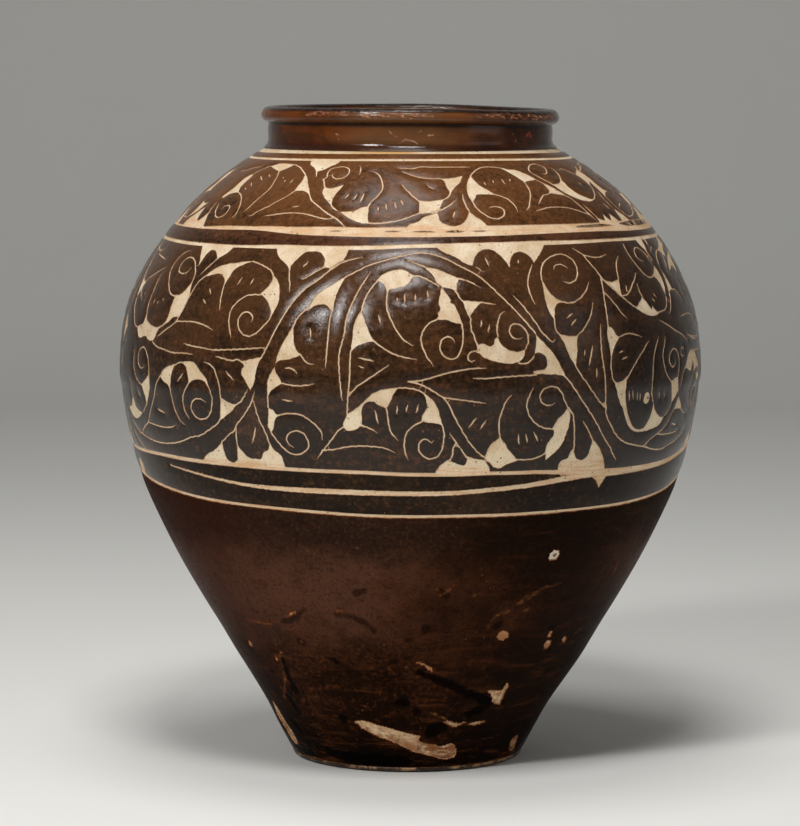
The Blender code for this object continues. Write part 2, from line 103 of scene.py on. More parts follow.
BELLY_WINDOWS = """
-55.5,100c -52,93 -51.1,89.5c -50.8,93 -50.5,95.2 -49.5,97.4 -48.2,97.3 -46.1,93.2c -44.8,95 -43.4,97.3
-42.5,100c; -31.5,99.6c -29,95.1 -27,92.3 -25.8,89.6c -25.7,91.3 -24.8,94.4 -23.1,98.4 -21.5,98.9
-19.8,98.5 -18.3,94.8 -18.3,91.6c -17,90.9 -15.5,93.3 -14.3,94.4c -13.8,97 -13.4,99.9c; -47.6,84.2c
-45.8,87.7 -41.7,91.3 -39.6,91.8 -37.3,92.8 -35.5,92.9c -37.3,91.5 -38.8,89.9 -39.9,87.7 -40.1,85.7
-40.5,83.6 -40.9,80.9c -41.2,83.3 -43.2,86.2 -44.5,85.9 -46.1,85; -29.4,86.7c -28.2,85 -26.8,78.2
-26.6,74.1 -27.1,70.7 -27.7,67.3c -27.7,69 -28.3,72 -30.1,76.5 -31.1,77.8c -29.4,82.6 -29.1,84.7;
-33.2,47.5c -28.8,49.9c -29.4,47.5 -29.9,44.1 -30.4,38 -31.1,35.4c -31.8,37.6 -32.4,40 -33.2,42.4
-33,44.4 -32.6,45.5 -32.9,46.5; -38.2,31.1c -35.5,28.6 -34.6,28.4c -35.5,26 -36.7,24 -38.9,20.9c;
-49.1,45.1c -47.6,45.6 -45.5,45.7 -43.2,41.7 -42,39.5 -40.7,33.5c -41.3,35.6 -41.9,37.4 -43.2,38.3
-46,36.9 -46.7,35.6c -46.6,38.3 -47,40.7 -47.4,43.4 -48.2,44.4; -55.7,37.6c -55.3,39.7 -53.8,42
-50.9,43.6c -52,38.6 -52.2,35.2 -52.4,32.5c -53.1,34.6 -54.4,35.6; -39.1,11c -38.9,8 -38.6,4.6 -37.9,2.6
-36.7,2.1 -35.8,3.2 -35.5,6.6 -35.3,10c -33.8,6.6 -32.9,4.9 -31.4,4.6 -29.9,4.9 -29.5,7.3 -28.2,9.3
-27.8,11.7c -27,9.3 -25.5,6.6 -25.1,3.2 -24.4,1.6c -45.6,1.5c -44.6,2.9 -43.2,5.2 -41.7,6.6; -22.6,63.9c
-22.5,60.5 -21.5,53 -20.8,51.6c -21.4,50.8 -24.1,49 -24.9,48.9 -25.8,47.2c -25.4,51.3 -23.8,59.1;
-13.2,86.7c -14.8,76.8 -15,70.8c -15.5,71.4 -16.1,73.1 -19.1,72.7 -19.9,71c -19.4,75.1 -18.8,77.5
-14.9,84.3 -13.9,86; -26,45.5c -25.4,42.4 -24.6,40 -24.5,39c -25.8,36.9 -26.9,34.9 -27.4,32.5c
-27.4,35.9 -27.3,40; -27.4,27.6c -26.6,27.1 -26,25.4 -25.4,24.7c -26.1,23.3 -26.5,20.9 -26.7,18.5
-27.3,17.2c -27.7,19.2 -27.6,23.7; -5.9,87.3c -4.9,88.9 -0.9,89.9 -0.1,88.6 0.9,87.5c 0.4,86.6 0,85
-0.5,83.6 -3.1,81.6 -4.1,80.9 -4.5,80c -5,82.3 -5.6,84.2 -6.5,84.9c; 3.1,91.5c 4.5,91.1 8.6,87.4 9.9,86c
9.5,84.7 9.2,80.2c 8.6,80.9 6.4,82.1c 5.8,83.3 5.1,85 4.9,86.7 4.2,88.8 3.3,90.5; 6.1,81.6c 7,79.6
7.7,76.8 8.6,73.4 9.8,65.1c 9.2,65.6 8.3,65.9 7.4,66.9 6.2,67.4 5.4,67.3 5.1,67.8c 5.4,69 5.2,70.3
5.8,71.7 5.5,74.1 5.9,78.9; -9.3,70.6c -7.9,62.8 -7.3,59.8 -6.7,57.9c -7.9,57.6 -10.4,55 -11.1,53.3c
-10.8,60.5 -10.7,64.6 -10.2,68 -9.8,70; -11.8,26.2c -9.1,30.6 -7.9,33.6 -6.7,35.7 -2,38.1c -2.6,36.9
-4.1,30.3 -4.4,29.3c -6,30.8 -6.6,31.9 -8.4,31.2 -9.1,27 -9,24 -9.1,21.5c -10.4,19.5 -12,19.2
-12.4,20.2c -12.6,22 -12.3,23.5; 2.4,35.9c 4.6,31.1 5.2,27.7 5.9,21.8c 4.2,22.7 2.9,23 2.1,23.8c 2.2,26
3.1,29.5 3,31.8; 4.2,0.8c 5.3,2.4 6.1,4.6 7.1,5.6c 8,5.2 9.2,4.1 10.2,3.5 10.9,6.5 10.7,7.8c 12.8,6.2
14.2,5.6 15.2,2.5 15.6,1.2c; 4.3,100c 6.7,99.6 9.9,95.9 11.5,93.3 13,92c 13.5,95.2 15.7,99.9 17.8,99.9
19.8,96 21,90.9c 21.6,95 22.8,97.8 24.3,98.6 26.5,95.2 26.8,93c 28.3,95.9 32.1,99.6c; 24.2,60.2c
25.6,56.6 27.1,53 30.1,41.3c 28,42.5 26.5,42.6 25.2,43 24,43 23.3,44c 24.6,44.6 25.7,44.8 26.2,46.5
25.8,50.8 23.9,52 23.5,50.8c 23.9,53 24.1,55.7 24.3,58; 12.6,55.8c 13.3,56.7 14.1,56.2 15.1,55.3
15.7,56.3 15.9,58.1 16.5,59.5c 17.2,56 20.6,52.8 21.8,53.8c 21.3,50 20.4,48.4c 19.2,47.9 15.9,48.9
13.3,51.5 12.5,53.5c; 10.1,76c 14,75c 13.6,74.4 12.1,70.7 11.5,69 11.5,67.3c 10.6,72.1 10.4,74.1;
27.6,84.9c 28,82.3 28.6,78.9 29.8,75.8 31.1,74.1c 29.3,72.1 28.9,69.3 28.6,66.3c 28.1,68 27.4,74.8
27.5,80.2; 29.2,59.8c 33,58.8 33.6,59.2c 33.2,57.7 32.9,52.3 32.4,45.8c 31.5,48.5 30.2,55.4; 30.5,26.7c
31.2,25.7 31.4,20.2 30.9,15.5 30.2,11.4 27.7,5.9 27,4.6c 26.7,8.3c 26.8,10.7 27.7,14.1 28.3,16.5
28.1,17.9 27.6,18.3c 28.3,20.6 28.9,23 29.9,24.7; 17.1,15.5c 18.1,13.1 18.7,10.7 19.8,8 20.6,5.9
21.1,5.2c 20.4,4.6 19.2,3.9 17.1,1.8 16.2,2.5 15.5,4.2 14.5,5.9c 14.5,8 15.4,12.7; 30.4,0c 30.6,3.9
32,4.9 32.3,7 32.9,8.7c 33.4,6.6 33.9,4.6 35.9,3.7 36.8,5.6 37.1,8.7 37.6,12.1c 38.6,10.4 40.6,4.6
42.3,0.5c; 41.1,61.7c 42.1,61.1 42.6,59.1 43.4,57.2 43.7,56.9c 42.1,53 41.1,48.2c 40.7,55.7 40.6,59.1;
41.7,37.6c 42.7,37.1 45.1,39.4c 44.9,35.9 44.7,32.9 45.1,29.1 46.4,21.6 48.9,15.5 51.8,15.3 52.7,17.2
54,23 54.1,26.4c 54.5,24.3 55.4,21.9 58,18.9 59.3,19.6c 58.6,17.9 57.4,15.5 55.6,14.5 50.9,13.6
48.9,14.1 47.4,15.8 45.9,19.6 44.8,24.3 43.3,29.1; 60.2,34.6c 61.5,35.6 63.3,36.3c 63.4,33.9 64.3,29.6c
61.3,23.8c 61.5,25.8 61.2,28.4 60.6,31.8; 64.9,26.7c 65.8,25 67.3,20.6c 63.9,21.3 63,20.9c; 67.1,39.2c
68.3,42.1 69.5,44.8 72.6,46.8 73.5,46.1c 73.2,44.1 71,37.6c 70.3,37.6 68.8,38.8; 50.1,69.5c 51.2,70.3
52.4,72.1 53.6,73.8c 55.6,67.6c 56.2,69.3c 57.4,66.6 58.6,66.3c 57.1,65.1 53,65.9; 43.3,83.3c 44.8,82.1
47.9,83.3c 47.6,80.9 47.2,78.2 47,75.3c 45.9,77.5 44.8,80.2; 64,87.7c 64.6,85.7 64.9,82.3 64.8,78.9
64,75.5 63.4,72.6c 63.2,76.1 62.9,79.6 62.1,81.9 61.1,83c 62.4,84.7; 62.1,100c 63,98 63.9,95.9
64.2,94.2c 65.1,98.6 65.8,100c; 67,100c 67.4,98.3 68.3,97.3c 71.8,99.7c; 67,85.5c 67.6,82.3 68.3,75.5c
67.1,75.3 65.9,74.6c 66.2,77.5 66.7,80.9; 71.3,94.9c 77.6,99.3 80.6,100c 80.6,96.6 78.2,95.6 76.5,93.9
75,91.1c 72.6,94.2; 75.5,35c 77,36 78.5,33.5 77.5,32 76,33; -75.9,80.2c -74.4,79.2 -72.6,78.5c
-73.8,72.7 -74.4,70.7c -75.1,74.8 -75.6,77.5; -68.1,58.1c -66.8,59 -65.6,59.8 -64.6,65.5c -64.1,62.8
-61.8,60.1 -60,59.3 -58.2,59.3 -55.4,63.4 -55,66.4c -55,70.7 -54.5,74.8c -53.5,74.9 -52.4,76.5
-50.9,81.3c -50.6,78.9 -50.1,74.8 -50.6,68.6 -51.5,65.2 -53.2,64.6 -54.7,62.2 -55.9,60.8 -58.4,57.1
-58.8,55 -59.6,53c -61.8,53.3 -62.6,54.3 -63.8,54.5 -65,53.6 -66.5,53.5 -67.4,55.4; -64.1,32.5c
-60.6,37.3c -60.2,34.6 -60.3,31.8 -61.2,28.8 -62.8,24c -63.2,27.1 -63.7,29.8; -65.6,19.4c -68.8,20.9
-69.7,22.3 -70.4,25.4c -71.5,24.3 -72.4,21.6 -73.8,20.6 -75.1,20.2c -74.1,17.9 -72.6,16.2 -67.6,17.2;
50.7,29.8 51.3,31.3 52.1,30.7 52.5,29 52.3,27 51.7,25.9 51,26.6 50.6,28.2;
"""

BELLY_LINES = """
-35.5,92.9 -32.3,91 -29.6,87.7 -29.2,86; -47.6,84.2 -48.8,81.6 -49.5,77.5 -49.9,74; -36.1,57.6
-36.9,71.4 -35.8,74.2 -34.4,76.5 -32.9,77.2 -31.1,77.3; -27.7,68 -28,66 -28.6,64.3 -32.3,58.6 -33.8,59.8
-34.7,62.6 -35,65.6 -34.5,68 -33.2,69.3 -31.6,65.9 -31.9,64.6; -40.9,80.9 -40.8,77.5 -40.1,69.3;
-52.1,62.8 -50.3,63 -46.7,63.3 -42.3,61.5 -41,60.3; -48.6,53.5 -46.7,52.8 -43.5,52.3 -40.2,51.7
-37.3,52.1 -28.2,54; -59.7,52.6 -57.6,50.6 -55,49.9 -52.3,49 -47.6,49.2 -45.8,49; -39.6,49 -37.6,48.3
-35.5,47.6 -33.8,48.1 -33,46.8; -31.7,35.5 -33.8,29.4 -34.6,28.4; -42.6,46.1 -41.1,45.5 -39.9,43.8
-39.1,40.7 -38.4,36.6 -38.2,31.1; -52,42.9 -49.1,45.1; -40.7,33.5 -40.4,31.1 -40.7,27.1 -41.1,24.3
-42,21.9 -44.9,20.9 -46.5,25 -46.1,27.7 -43.5,29.6 -42.1,28.2; -46.7,35.6 -48.8,27.7 -48.6,24.3
-47.3,20.2; -52.4,32.5 -51.5,23 -50.3,18.9 -49.1,17.2; -75,14.5 -72,12 -70,10 -67.1,8.7 -56.8,7.2
-50.3,9.7 -48.2,11.4 -44.4,13.4 -42,16.2 -39.9,18.9 -38.9,20.9; -30.2,34.6 -30.8,31.1 -34.1,21.3
-35.1,18.9 -35.5,17.2 -37,14.8 -39.1,11; -35.1,18.5 -35.3,14.5 -35.3,10; -30.5,30.5 -30.2,26.4
-29.5,21.6 -28.5,16.8 -27.8,11.7; -22.6,63.9 -22,67.3 -19.9,72.4; -15.2,70.7 -15.4,68 -15.5,61.8
-15.8,46.1; -20.8,51.6 -19.2,47.9 -18,47.6; -24.5,39 -21.1,38.1 -17.9,39.2; -25.4,24.7 -24.1,25.6
-22.6,25.8 -20.8,25.4 -19,23 -16.8,17.2 -16.8,14.5; -27.3,17.2 -24.9,10.4 -23.5,8 -22,7.6 -19.6,11.4
-20.5,17.2 -22,18.2 -23.5,16.8 -24.1,14.1 -23.6,12.1 -22.7,10.8; -27.4,32.5 -27.5,27.7; -28.8,49.9
-27.7,54.7 -26.1,62.9 -20.8,81.9 -19,84.9 -17.6,88 -16,91 -14.6,93.3 -12.6,95 -10.2,96.3; -13.2,86.7
-10.2,90.5 -8.8,92.2 -6.7,93.9 -2,96.9 2.7,98.6 7.4,95.6 9.8,92.6 13.3,88.1 18.3,76.8 24.2,60.5;
-0.8,95.2 3,91.8; -22.3,85 -20.6,87.6 -19,90.1 -18.2,91; -25.8,89.6 -25.4,85.7 -24.9,82.3 -24.6,78.9;
0.9,87.5 2.1,87.1 3.3,85.8 4.8,83.8 5.6,82.2; 5.1,67.6 3,64.6 2,59.8 2.7,53 4.3,47.2; 9.8,65.1 9.3,53.6
8.6,50.9 7.6,50.2 5.6,53.6 6.1,59.1 7,59.9 7.9,59.1 8.2,57.1; 8.9,80.3 10.1,75.6; -4.5,80 -4.4,71.4
-3.5,66.6 -1.1,58.4 0.5,56; -5.9,87.3 -9.1,74.8 -9.4,70.7; -6.7,57.9 -3.2,52.6 1.2,50.2; -8.3,88.4
-10.7,78.2 -12.3,65.9 -12.4,61.8 -13.3,50.9 -13.2,45.5 -12.6,32.2; -11.1,53.3 -11.2,48.2 -11.2,42.7
-11.4,37.3 -11.8,26.4; -3.9,47.9 -7.3,42.4 -10.2,37.6 -11.3,34.6; -12.4,20.6 -13.5,19.2 -14.6,15.8
-17.4,8 -18,5.9; -2,38.1 2,36.4 2.6,35.5; -4.4,29.3 -4.2,25.7 -3.5,18.2 -2.2,14.8; -9.1,21.5 -6.9,19.4
-6.1,18.2; 2.1,23.3 -0.8,17.9 -1.1,14.8 -0.8,8.3 -0.3,5.9; 5.9,21.8 6.3,18.2 6.2,14.1 5.8,10 4.9,7.4
3.7,6.7 1.6,10.7 1.6,13.4 2.3,15.3 3.3,15.3 4,13.8 4.4,14.8; -16.9,10 -14.4,10.6 -12.3,11.7 -7.3,12.2
-4.9,11.5 -2.9,9.5; -0.4,40.7 1.2,40 5.1,35.2 5.9,33.9 8.6,23.5 10.9,14.7 12.4,10.4 14.5,6.6; -0.4,40.7
1.2,41 7.4,44.6 12.1,46.1 14.2,46.1; 5.9,33.9 14.1,30.9; 7.4,18.2 8.1,15.5 9.2,12.1 10.6,7.6; 8.6,13.4
8.1,11.4 8,8.7 7.6,6.3 7.1,5.6; 23.6,50.6 22.7,48.5 21.5,47.6 20.4,47.9; 11.5,41.9 13.9,41.7 16.8,42.1
23.9,42.6; 12.6,53 11.8,53.5 11.1,53 10.7,51.6 10.8,49.9 11.4,48.9 12,49.6; 13.6,75 16.8,73.8; 11.5,67.3
11.5,63.2 12,59.8 12.6,55.4; 9.9,86 11.5,84.9 14,81.7; 18.4,70.7 17.4,69 16.9,66.6 16.5,63.2 16.6,59.8;
21.9,54 22.5,56.4 22.3,61.8 20.4,64.9 19.3,64.2 18.9,61.8 19.3,59.4 20.4,58.3 21.5,58.8; 13.7,91.5
15,89.3; 20.6,77.5 21.8,74.4 23.3,69.3 24.5,65.2 25.6,60.8 26.8,58.1 27.7,56.4 28.2,57.7; 26.3,92
24.2,82 24.9,73.4; 31.1,74.1 32.4,73.4 36.8,77.2 38.9,82.3; 27.6,84.9 27.7,87 28.3,90.5 35.4,95.9
36.7,93.5 37.1,90.5 35.5,83.6 33.9,82.6 32.4,83.6; 31.1,89.1 31.5,90.8 33.9,91.1 34.6,89.4; 28.6,66.3
28.8,61 29.2,59.8; 38.4,72.7 37.7,69.3 35.1,61.8 33.6,59.2; 39.2,63.2 38.7,52.3 39.3,40 39.4,34.6
40,25.7; 32.4,45.8 33.3,42.4 34.5,39 37.4,31.1 40.1,25.7; 30.1,41.3 31.2,38.3 33.9,30.5 35.4,26.7
38.6,17.9 40.6,12.1 42.1,8.7 43.3,5.2 44.6,1.8; 40,25.7 40.2,23.3 41.5,18.9 44.8,11.4 46.8,9.3 49.2,8
53.9,5.9 56.2,4.6 58.6,3.9 60.4,3.7 62.4,4.6 67.4,6.6 69.8,8 72,9; 23.3,37.3 22.6,34.2 22.1,31.1 23,24
25.9,19.2 27.6,18.5; 30.6,28.4 29.9,31.1 29.2,34.6 28.3,36.6 25.5,36.3 24.7,33.9 24.9,31.1 27.1,29
28,30.1; 30.6,28.4 32.1,24.3 32.6,19.6 32.9,14.8 33.1,9.3 33,6.6; 21.1,5.4 24.5,5.6 26.8,7.6; 18.9,34.2
17.9,31.5 17.3,27.7 16.8,23.7 17.1,15.5; 34.5,21.3 36.7,14.8 37.6,11.4; 41.1,48.2 40.9,45.5 41,42
41.2,39.3 41.7,37.3; 41.1,61.7 41.8,74.8 42.3,79.6 42.7,84.3; 42.3,77.5 44.2,72 45.6,67.3 46.9,64.5;
43.7,56.9 46.5,58.1 48.3,57.4 50.4,56; 45.1,38.3 45.8,40.4 47.1,43.4 48.6,46.8 50.4,50.2 51.8,53
52.7,54.2; 56.1,55.4 54,48.2 53.1,38.6 53.1,30.5 54,26.7; 58.6,55 58,51.6 57.1,47.5 57.3,43.4 58,39.3
60.2,34.6; 63.4,36.6 63.9,40.7 64,44.8 63.3,47.9 61.8,49 59.6,45.5 59.8,42.7 60.9,41 62.1,42.1
62.5,44.1; 61.4,24.2 60.4,21.2 59.3,19.5; 63,20.9 62.1,18.9 61.5,16.8 60.4,14.8 56.8,11 54.5,9 52.7,6.6;
57.1,11.4 59.8,10.6 62.4,10.4 65.1,10.4 67.4,11.4; 67.3,20.6 68.9,18.9 70.6,17.7; 65.2,31.2 65.5,35.2
67.1,39.3; 73.5,46.3 76,46.2 78,45.5; 57.6,62.5 61.5,59.1 63.6,57 65.9,55.4 67.7,53.6 70.1,51.3;
70.1,54.2 72.4,52.8 74.7,51.5 77.6,50.9; 67.3,45.5 66.2,44.9 65.4,46.1 65.5,47.9 66.4,48.9 67,47.5;
38,99.3 40.2,95.6 40.9,92.5 42.1,88.1 42.9,84.3 45.4,78.2 46.8,75.1 50,69.7; 40.2,95.8 43.9,94.2
47.3,95.4; 47.9,83.3 49.2,90.5 51.1,94.2; 47,75.3 48.6,75.5 51.8,80.2 53.3,82.6 54.6,85.3; 53.6,73.8
53.3,76.8 53.4,80.2; 58.6,66.3 61.5,67.6 63.4,72.7; 61.1,83 59.8,82.4 57.6,84.8; 60.1,90.5 58.9,91.1
58,93.2 58.3,95.9 59.8,97.6 62.7,94.2 63.3,91.1 63.7,88.4; 55.4,100 55.2,95.9 55.8,91.1 57.7,84.3;
64.2,94.2 64.5,91.8 64.9,89.8; 68.4,75.3 70,75.2 71.3,72.7 72.5,70.7; 65.9,74.6 65.4,72.1 64.5,69.3
63.6,66.6 62.4,64.9; 71.3,94.9 70,94.2 67.5,89.8 67.1,86.4; 66.8,94.9 67.9,96.3 69.1,97.1; -75.3,92.6
-67.4,90.6; -72.6,78.5 -71.8,80.2 -70,81.9 -64.7,87; -74.4,70.7 -73.5,66.6 -72.4,63.5 -69.7,58.4
-67.9,57.7; -51.5,65.2 -52.1,62.8 -53.5,60.5 -55.3,58.4 -57.1,56 -58.1,54.9; -57.4,96.3 -58.8,95.6
-61.3,89.8 -61.4,86.4 -60.6,83 -59.4,79.6 -56.8,74.9 -55,74.1; -50.9,81.3 -51,85 -51.8,87.7 -52.9,90.5
-55.9,93 -57.4,91.8 -58.1,89.1 -57.8,86.4 -53.7,86.7 -53.5,88.1; -65.3,83.6 -65,72.7 -65,68.6
-64.6,65.2; -60.3,35.9 -60.4,40 -61.8,47.2 -62.9,49.2 -65.6,47.2 -65.9,44.1 -65.4,41.4 -64.1,40
-62.6,40.8; -68.2,47.5 -68.4,42.7 -67.9,38.6 -66.8,35.6 -65.3,33.2 -64.1,32.5; -62.8,24 -65.3,19.6;
-71.2,25.5 -70.9,29 -71,33; -55.7,38.3 -56.8,35.6 -59.1,27.7 -61.8,19.9 -63.4,15.5 -65,13.8 -68.2,9.7;
-63.4,15.5 -61.2,15.1 -55.3,14.8 -53.2,15.5 -52.1,16.5; -74.7,10 -72.4,6.6 -68.2,2.2; -46.1,93.2
-49.2,85;
"""

BELLY_TICKS = """
-36.8,84.7 -37.4,81.3; -33.7,84.7 -34.2,81.6; -44.6,79 -43.7,76.3; -45.5,73.8 -44.3,71.9; -36.8,42.7
-34.9,39.2; -48.2,40.4 -49.9,36.3; -30.6,18.9 -31.1,14.8 -31.7,11.7; -19.2,63.2 -18.9,59.1; -23.8,45.5
-22.6,45.5 -21.3,43.3; -24.5,31.8 -22.3,31.2; -21.9,93.7 -22.8,91.1; -2.6,77.2 -2.5,75.8; -1.1,78.9
-1.1,75.1; 1,78.9 0.9,75.8; 3.4,80.2 3.4,77.2; -6.1,69.3 -5.6,65.9; -9.6,50.8 -6.7,49.4; -9.5,47.2
-8.6,46.5; -6.5,27.9 -6,22.3; -2.4,30.1 -2.5,26.4; -0.5,30.5 -0.8,27.4; 1.5,30.8 1.1,27.4; 16,95.9
16.5,91.8; 23.4,94.5 23.1,92.8; 13.6,66.9 13.4,63.9; 15.1,64.9 14.7,61.5; 33,68.8 31.4,66.5; 33.5,65.9
32.1,63.2; 34.7,52.3 34.5,50.2; 36.6,54 35.5,45.5; 37.3,43.8 37.2,40.4; 20.7,16.8 21,12.1; 22.3,16.5
22.7,12.7; 23.9,17.5 24.9,13.3; 12.3,24.7 10.9,20.2; 14.2,23.3 13.1,19.7; 43.3,50.1 44.3,50.6; 44,47.2
45.5,47.9; 45.8,32.9 46.2,28.4; 46.8,32.9 47.4,28.8; 48.3,31.8 48.6,28.4; 49.2,31.1 49.5,28.1; 55.8,30.5
56.1,27.7; 58,29.4 58.2,27.7; 63.3,14.8 65.8,13.6; 49.5,79.9 49,77.2; 57.1,72.7 57.7,71; 58.3,74.8
58.9,72.9; -69.4,73.8 -69.7,72.7; -68.2,70.7 -68.5,69.7; -62.5,71.4 -62.8,69.7; -60.9,71 -61,69.7;
-59.3,72.4 -59,71.4; -58.1,22.6 -55.4,21.3; -66.8,29.4 -65.9,26.7;
"""

SHOULDER_WINDOWS = """
-36.5,96c -35.6,91 -34.1,87.3 -32.9,85.2 -31.8,81.5 -30.9,78.8c -29.4,80.4 -28.2,83.1 -27.1,87.8
-25.9,90.5 -25,94.2 -24.8,97c; -53.4,84.9c -51.6,87.2 -50.2,90 -47.5,90.5 -42,89.6c -42.9,85.6 -43.8,83
-44.8,79.8 -46,76.9c -48.6,80 -50,81.3 -51.8,83.8; -34.4,74.4c -33.2,70.4 -30.3,55.6 -29.1,49.2
-28.1,42.3c -30.9,48.1 -33.7,47.6c -33.8,53.4 -33.6,59.8; -24.8,54.3c -23.5,52.9 -19.3,58.7c -19.7,53.4
-20.3,47.1 -20.7,34.4 -20.5,28.9c -23.8,41.8 -24.8,48.1; -17.5,20.4c -15.6,21.2 -13.8,22.2 -12.6,25.9
-10.6,28c -10.4,21.7 -10.4,16.4 -9.9,7.4c -10.9,6.3 -12.4,7.9; 2.1,36c 5,34.9 6.8,36 8.8,37.4c 8.2,33.3
6.8,23.8 5,21.2 2.1,19c 2.2,25.9 2.3,30.2; 8.4,68.3c 10.6,68.3 16,72.7c 15.3,68.3 14.6,63 12.4,54.5
10.7,44.4c 10.7,49.2 10.3,53.4 9.4,66.7; -1.5,2.1c -0.3,5.3 1.8,9 3.2,14.3 5.3,18 6.6,20.1c 6.8,15.3
6.9,11.1 8.8,4.2 11.8,4.8 12.9,8.5 14.6,21.2c 15.1,18 17.1,10.1 17.8,6.3 18.5,3.2c; 18.5,72.5c 18.7,68.3
19.3,63 20,56.6 21.5,51.3 22.4,47.1 23.4,43.1c 19.4,43.9 17.9,43.4 17.4,39.7 16.2,33.9c 15.7,38.6
15.6,45 17.4,67.2; 30.3,84.7c 31.2,84.7 32.9,82 35,81 37.9,74.1 39.1,70.4 40,64.6c 38.8,63.5 37.1,63
35.1,60.8c 33.5,70.4; 41.6,57.7c 42.6,55.6 44.7,47.1 45.6,42.3 46,38.6c 42.9,41.8 41.2,42.9 40,42c
41,44.4 41.6,48.1 41.5,53.4; 44.7,56.6c 48.2,57.7 50.4,63c 50.6,57.7 50.6,50.3 51.2,43.9 53.8,35.4
55.3,32.8 56.9,32.3c 55.9,30.4 54.1,29.6 48.8,36 46.2,46 45.3,52.4; 61.8,69.3c 65,74.6 67.1,77.2
68.5,79.9c 67.4,75.7 67.9,68.3 67.9,59.8 67.6,52.4 68.2,45 70,40.7c 68.2,40.5 64.6,34.4c 64.7,40.7
65.3,57.7c 64.1,55.6 62.4,49.7c 62.6,61.9; 51.6,2.6c 51.9,7.9c 52.9,6.3 54.4,4.8 55,9 55.4,12.2c 56,7.9
57.1,4.2 57.8,7.9 58.4,12.7c 60.3,3.7 61.2,2.6c; 62.1,3.2c 62.6,7.9 62.9,15.3 63.2,17.5c 64.4,13.2
65.6,9 66.5,3.7 67.6,1.6c; -58.8,69.8c -57.6,70.4 -57.2,67.2 -57.3,57.7 -56.9,49.2 -54.9,41.8c
-56.8,41.6 -59.6,36.5 -60.1,33.5c -61.6,33.9 -61,40.7 -60.3,48.1 -60.2,55.6 -60.1,63; -71.6,27c
-69.7,24.3 -67.2,25.9c -68.2,20.6 -69.7,13.2 -71.8,7.9 -74.1,4.8c -72.6,11.1; -72.4,0.5c -70.6,5.8
-68.8,11.1 -67.4,16.4 -66.3,19.6c -66,13.2 -65.4,5.8 -64.4,2.1 -62.9,5.8 -62.1,10.1 -61.5,13.8c
-58.8,0.5c;
"""

SHOULDER_LINES = """
-30.9,78.8 -29.7,70.4; -42,89.6 -40.3,87.3 -38.5,84.7 -36.8,80.4 -34.4,74.1; -46,76.9 -45.1,71.4
-43.8,58.7 -43.4,53.4 -44.9,30.2 -45.6,22.8 -46.5,16.4; -28.1,42.3 -26.8,35.4 -25,30.2 -20.6,18
-18.2,12.2 -15.3,2.1; -33.7,47.6 -34.4,42.9 -37.4,31.2 -39.1,24.9 -41.8,17.5 -42.8,12.7 -43.7,12.2;
-38.5,12.7 -33.8,16.4 -30.9,18 -25.9,16.4 -23.5,13.8 -21.2,11.6 -18.8,12.2; -26.8,66.1 -26,63 -25.5,58.7
-24.8,54.3; -20.5,28.9 -19.4,24.3 -17.9,21.2; -9.9,7.2 -7.6,6.7 -5.3,7.9 -0.9,13.2 0.9,16.9 2.1,19;
-10.6,28 -10.3,32.3 -8.8,41.3 -7.7,54.5 -8.1,61.9 -9.7,74.6 -10.9,78.3 -12.1,79.4; -26.8,66 -26,69.3
-26.5,75.7 -26.5,81 -21.5,86.8 -20,83.6 -19.6,73 -20.9,68.3 -22.4,67.4 -23.8,69.8 -24.6,73.5 -24.5,75.7;
-16.5,87.8 -15.9,82 -15.8,75.1; 2.1,36 0.9,40.7 -0.3,47.1 -2.4,58.7; 8.8,37.4 10,40.7 10.7,45; 2.1,19.3
4.1,20.2 6.8,22.2 10,29.6 11.8,36.5; 8.4,68.3 4.7,68.8 -2.6,79.4; -4.1,85.2 -1.5,85.2 1.2,85.2 2.6,87.3
7.6,87.3 19.7,87.1; 14.1,44.4 13.9,38.6 14.6,21.7; 18.5,72.5 19.7,77.2 24.1,86.5 26.2,86.8 28.5,86.2
30.3,84.7; 23.4,43.1 26.2,36.5 27.5,24.9 27.4,19.6; 16.2,33.9 16.5,28 17.4,21.7 20,12.4 21.5,11.6
23.7,18.5 23.8,22.8 21.5,27 20,24.9; 35.1,60.8 34.5,46 32.2,31.2 31.2,24.9 30.2,21.5; 40,64.6 41.6,57.7;
40,42 38.2,40.7 36.8,36.5 34.7,28.6; 46,38.6 47.4,33.3 48.2,27 50.9,4.2; 50.3,25.9 50.9,18.5 51.8,10.1
52,5; 32.9,20.1 35,22.2 37.1,24 39.7,24.3 42.4,23.6 49.1,13.8 50,12.2; 50.4,63 51.5,67.2 52.2,72.5
52.5,78.8 52.1,83.1; 56.9,32.3 58.5,35.4 62.4,49.2; 44.7,56.6 44.1,60.8 42.9,65.1 41.8,70.4 40.9,74.6
40.7,78.8 41.8,84.1 43.2,87.8 47.4,88.9 48.8,84.7 45.9,72.5 44.7,73.5; 63.2,42.3 62.4,36.5 62.2,28
62.9,19.6; 64.6,34.4 65.6,19.6 66.8,12.2 69.1,5.8; 67.6,19.6 69.1,22.2 71.2,24.3; 68.5,79.9 70.5,83.5;
67.4,75.7 69.7,75.7 72.6,79.4 77.1,82.5; 55,78.8 57.4,79.4 59.1,77.2 60.3,73.5 61.8,69.8; -54.9,41.8
-53.2,39.2 -49.1,19.6 -48.8,13.2 -49.4,7.9; -60.1,25.9 -57.9,13.2 -56.5,9 -54.7,8.5 -53.2,11.6
-53.5,22.2 -54.9,24 -56.2,21.7 -56.3,18.5; -74.1,4.8 -76.5,4.2 -78.5,5.3; -61.5,13.8 -61.9,20.6
-61.8,27; -53.2,85.2 -55.9,78.8 -58,70.4; -69.7,74.6 -67.1,74.8 -61.8,81 -58.2,83.6;
"""

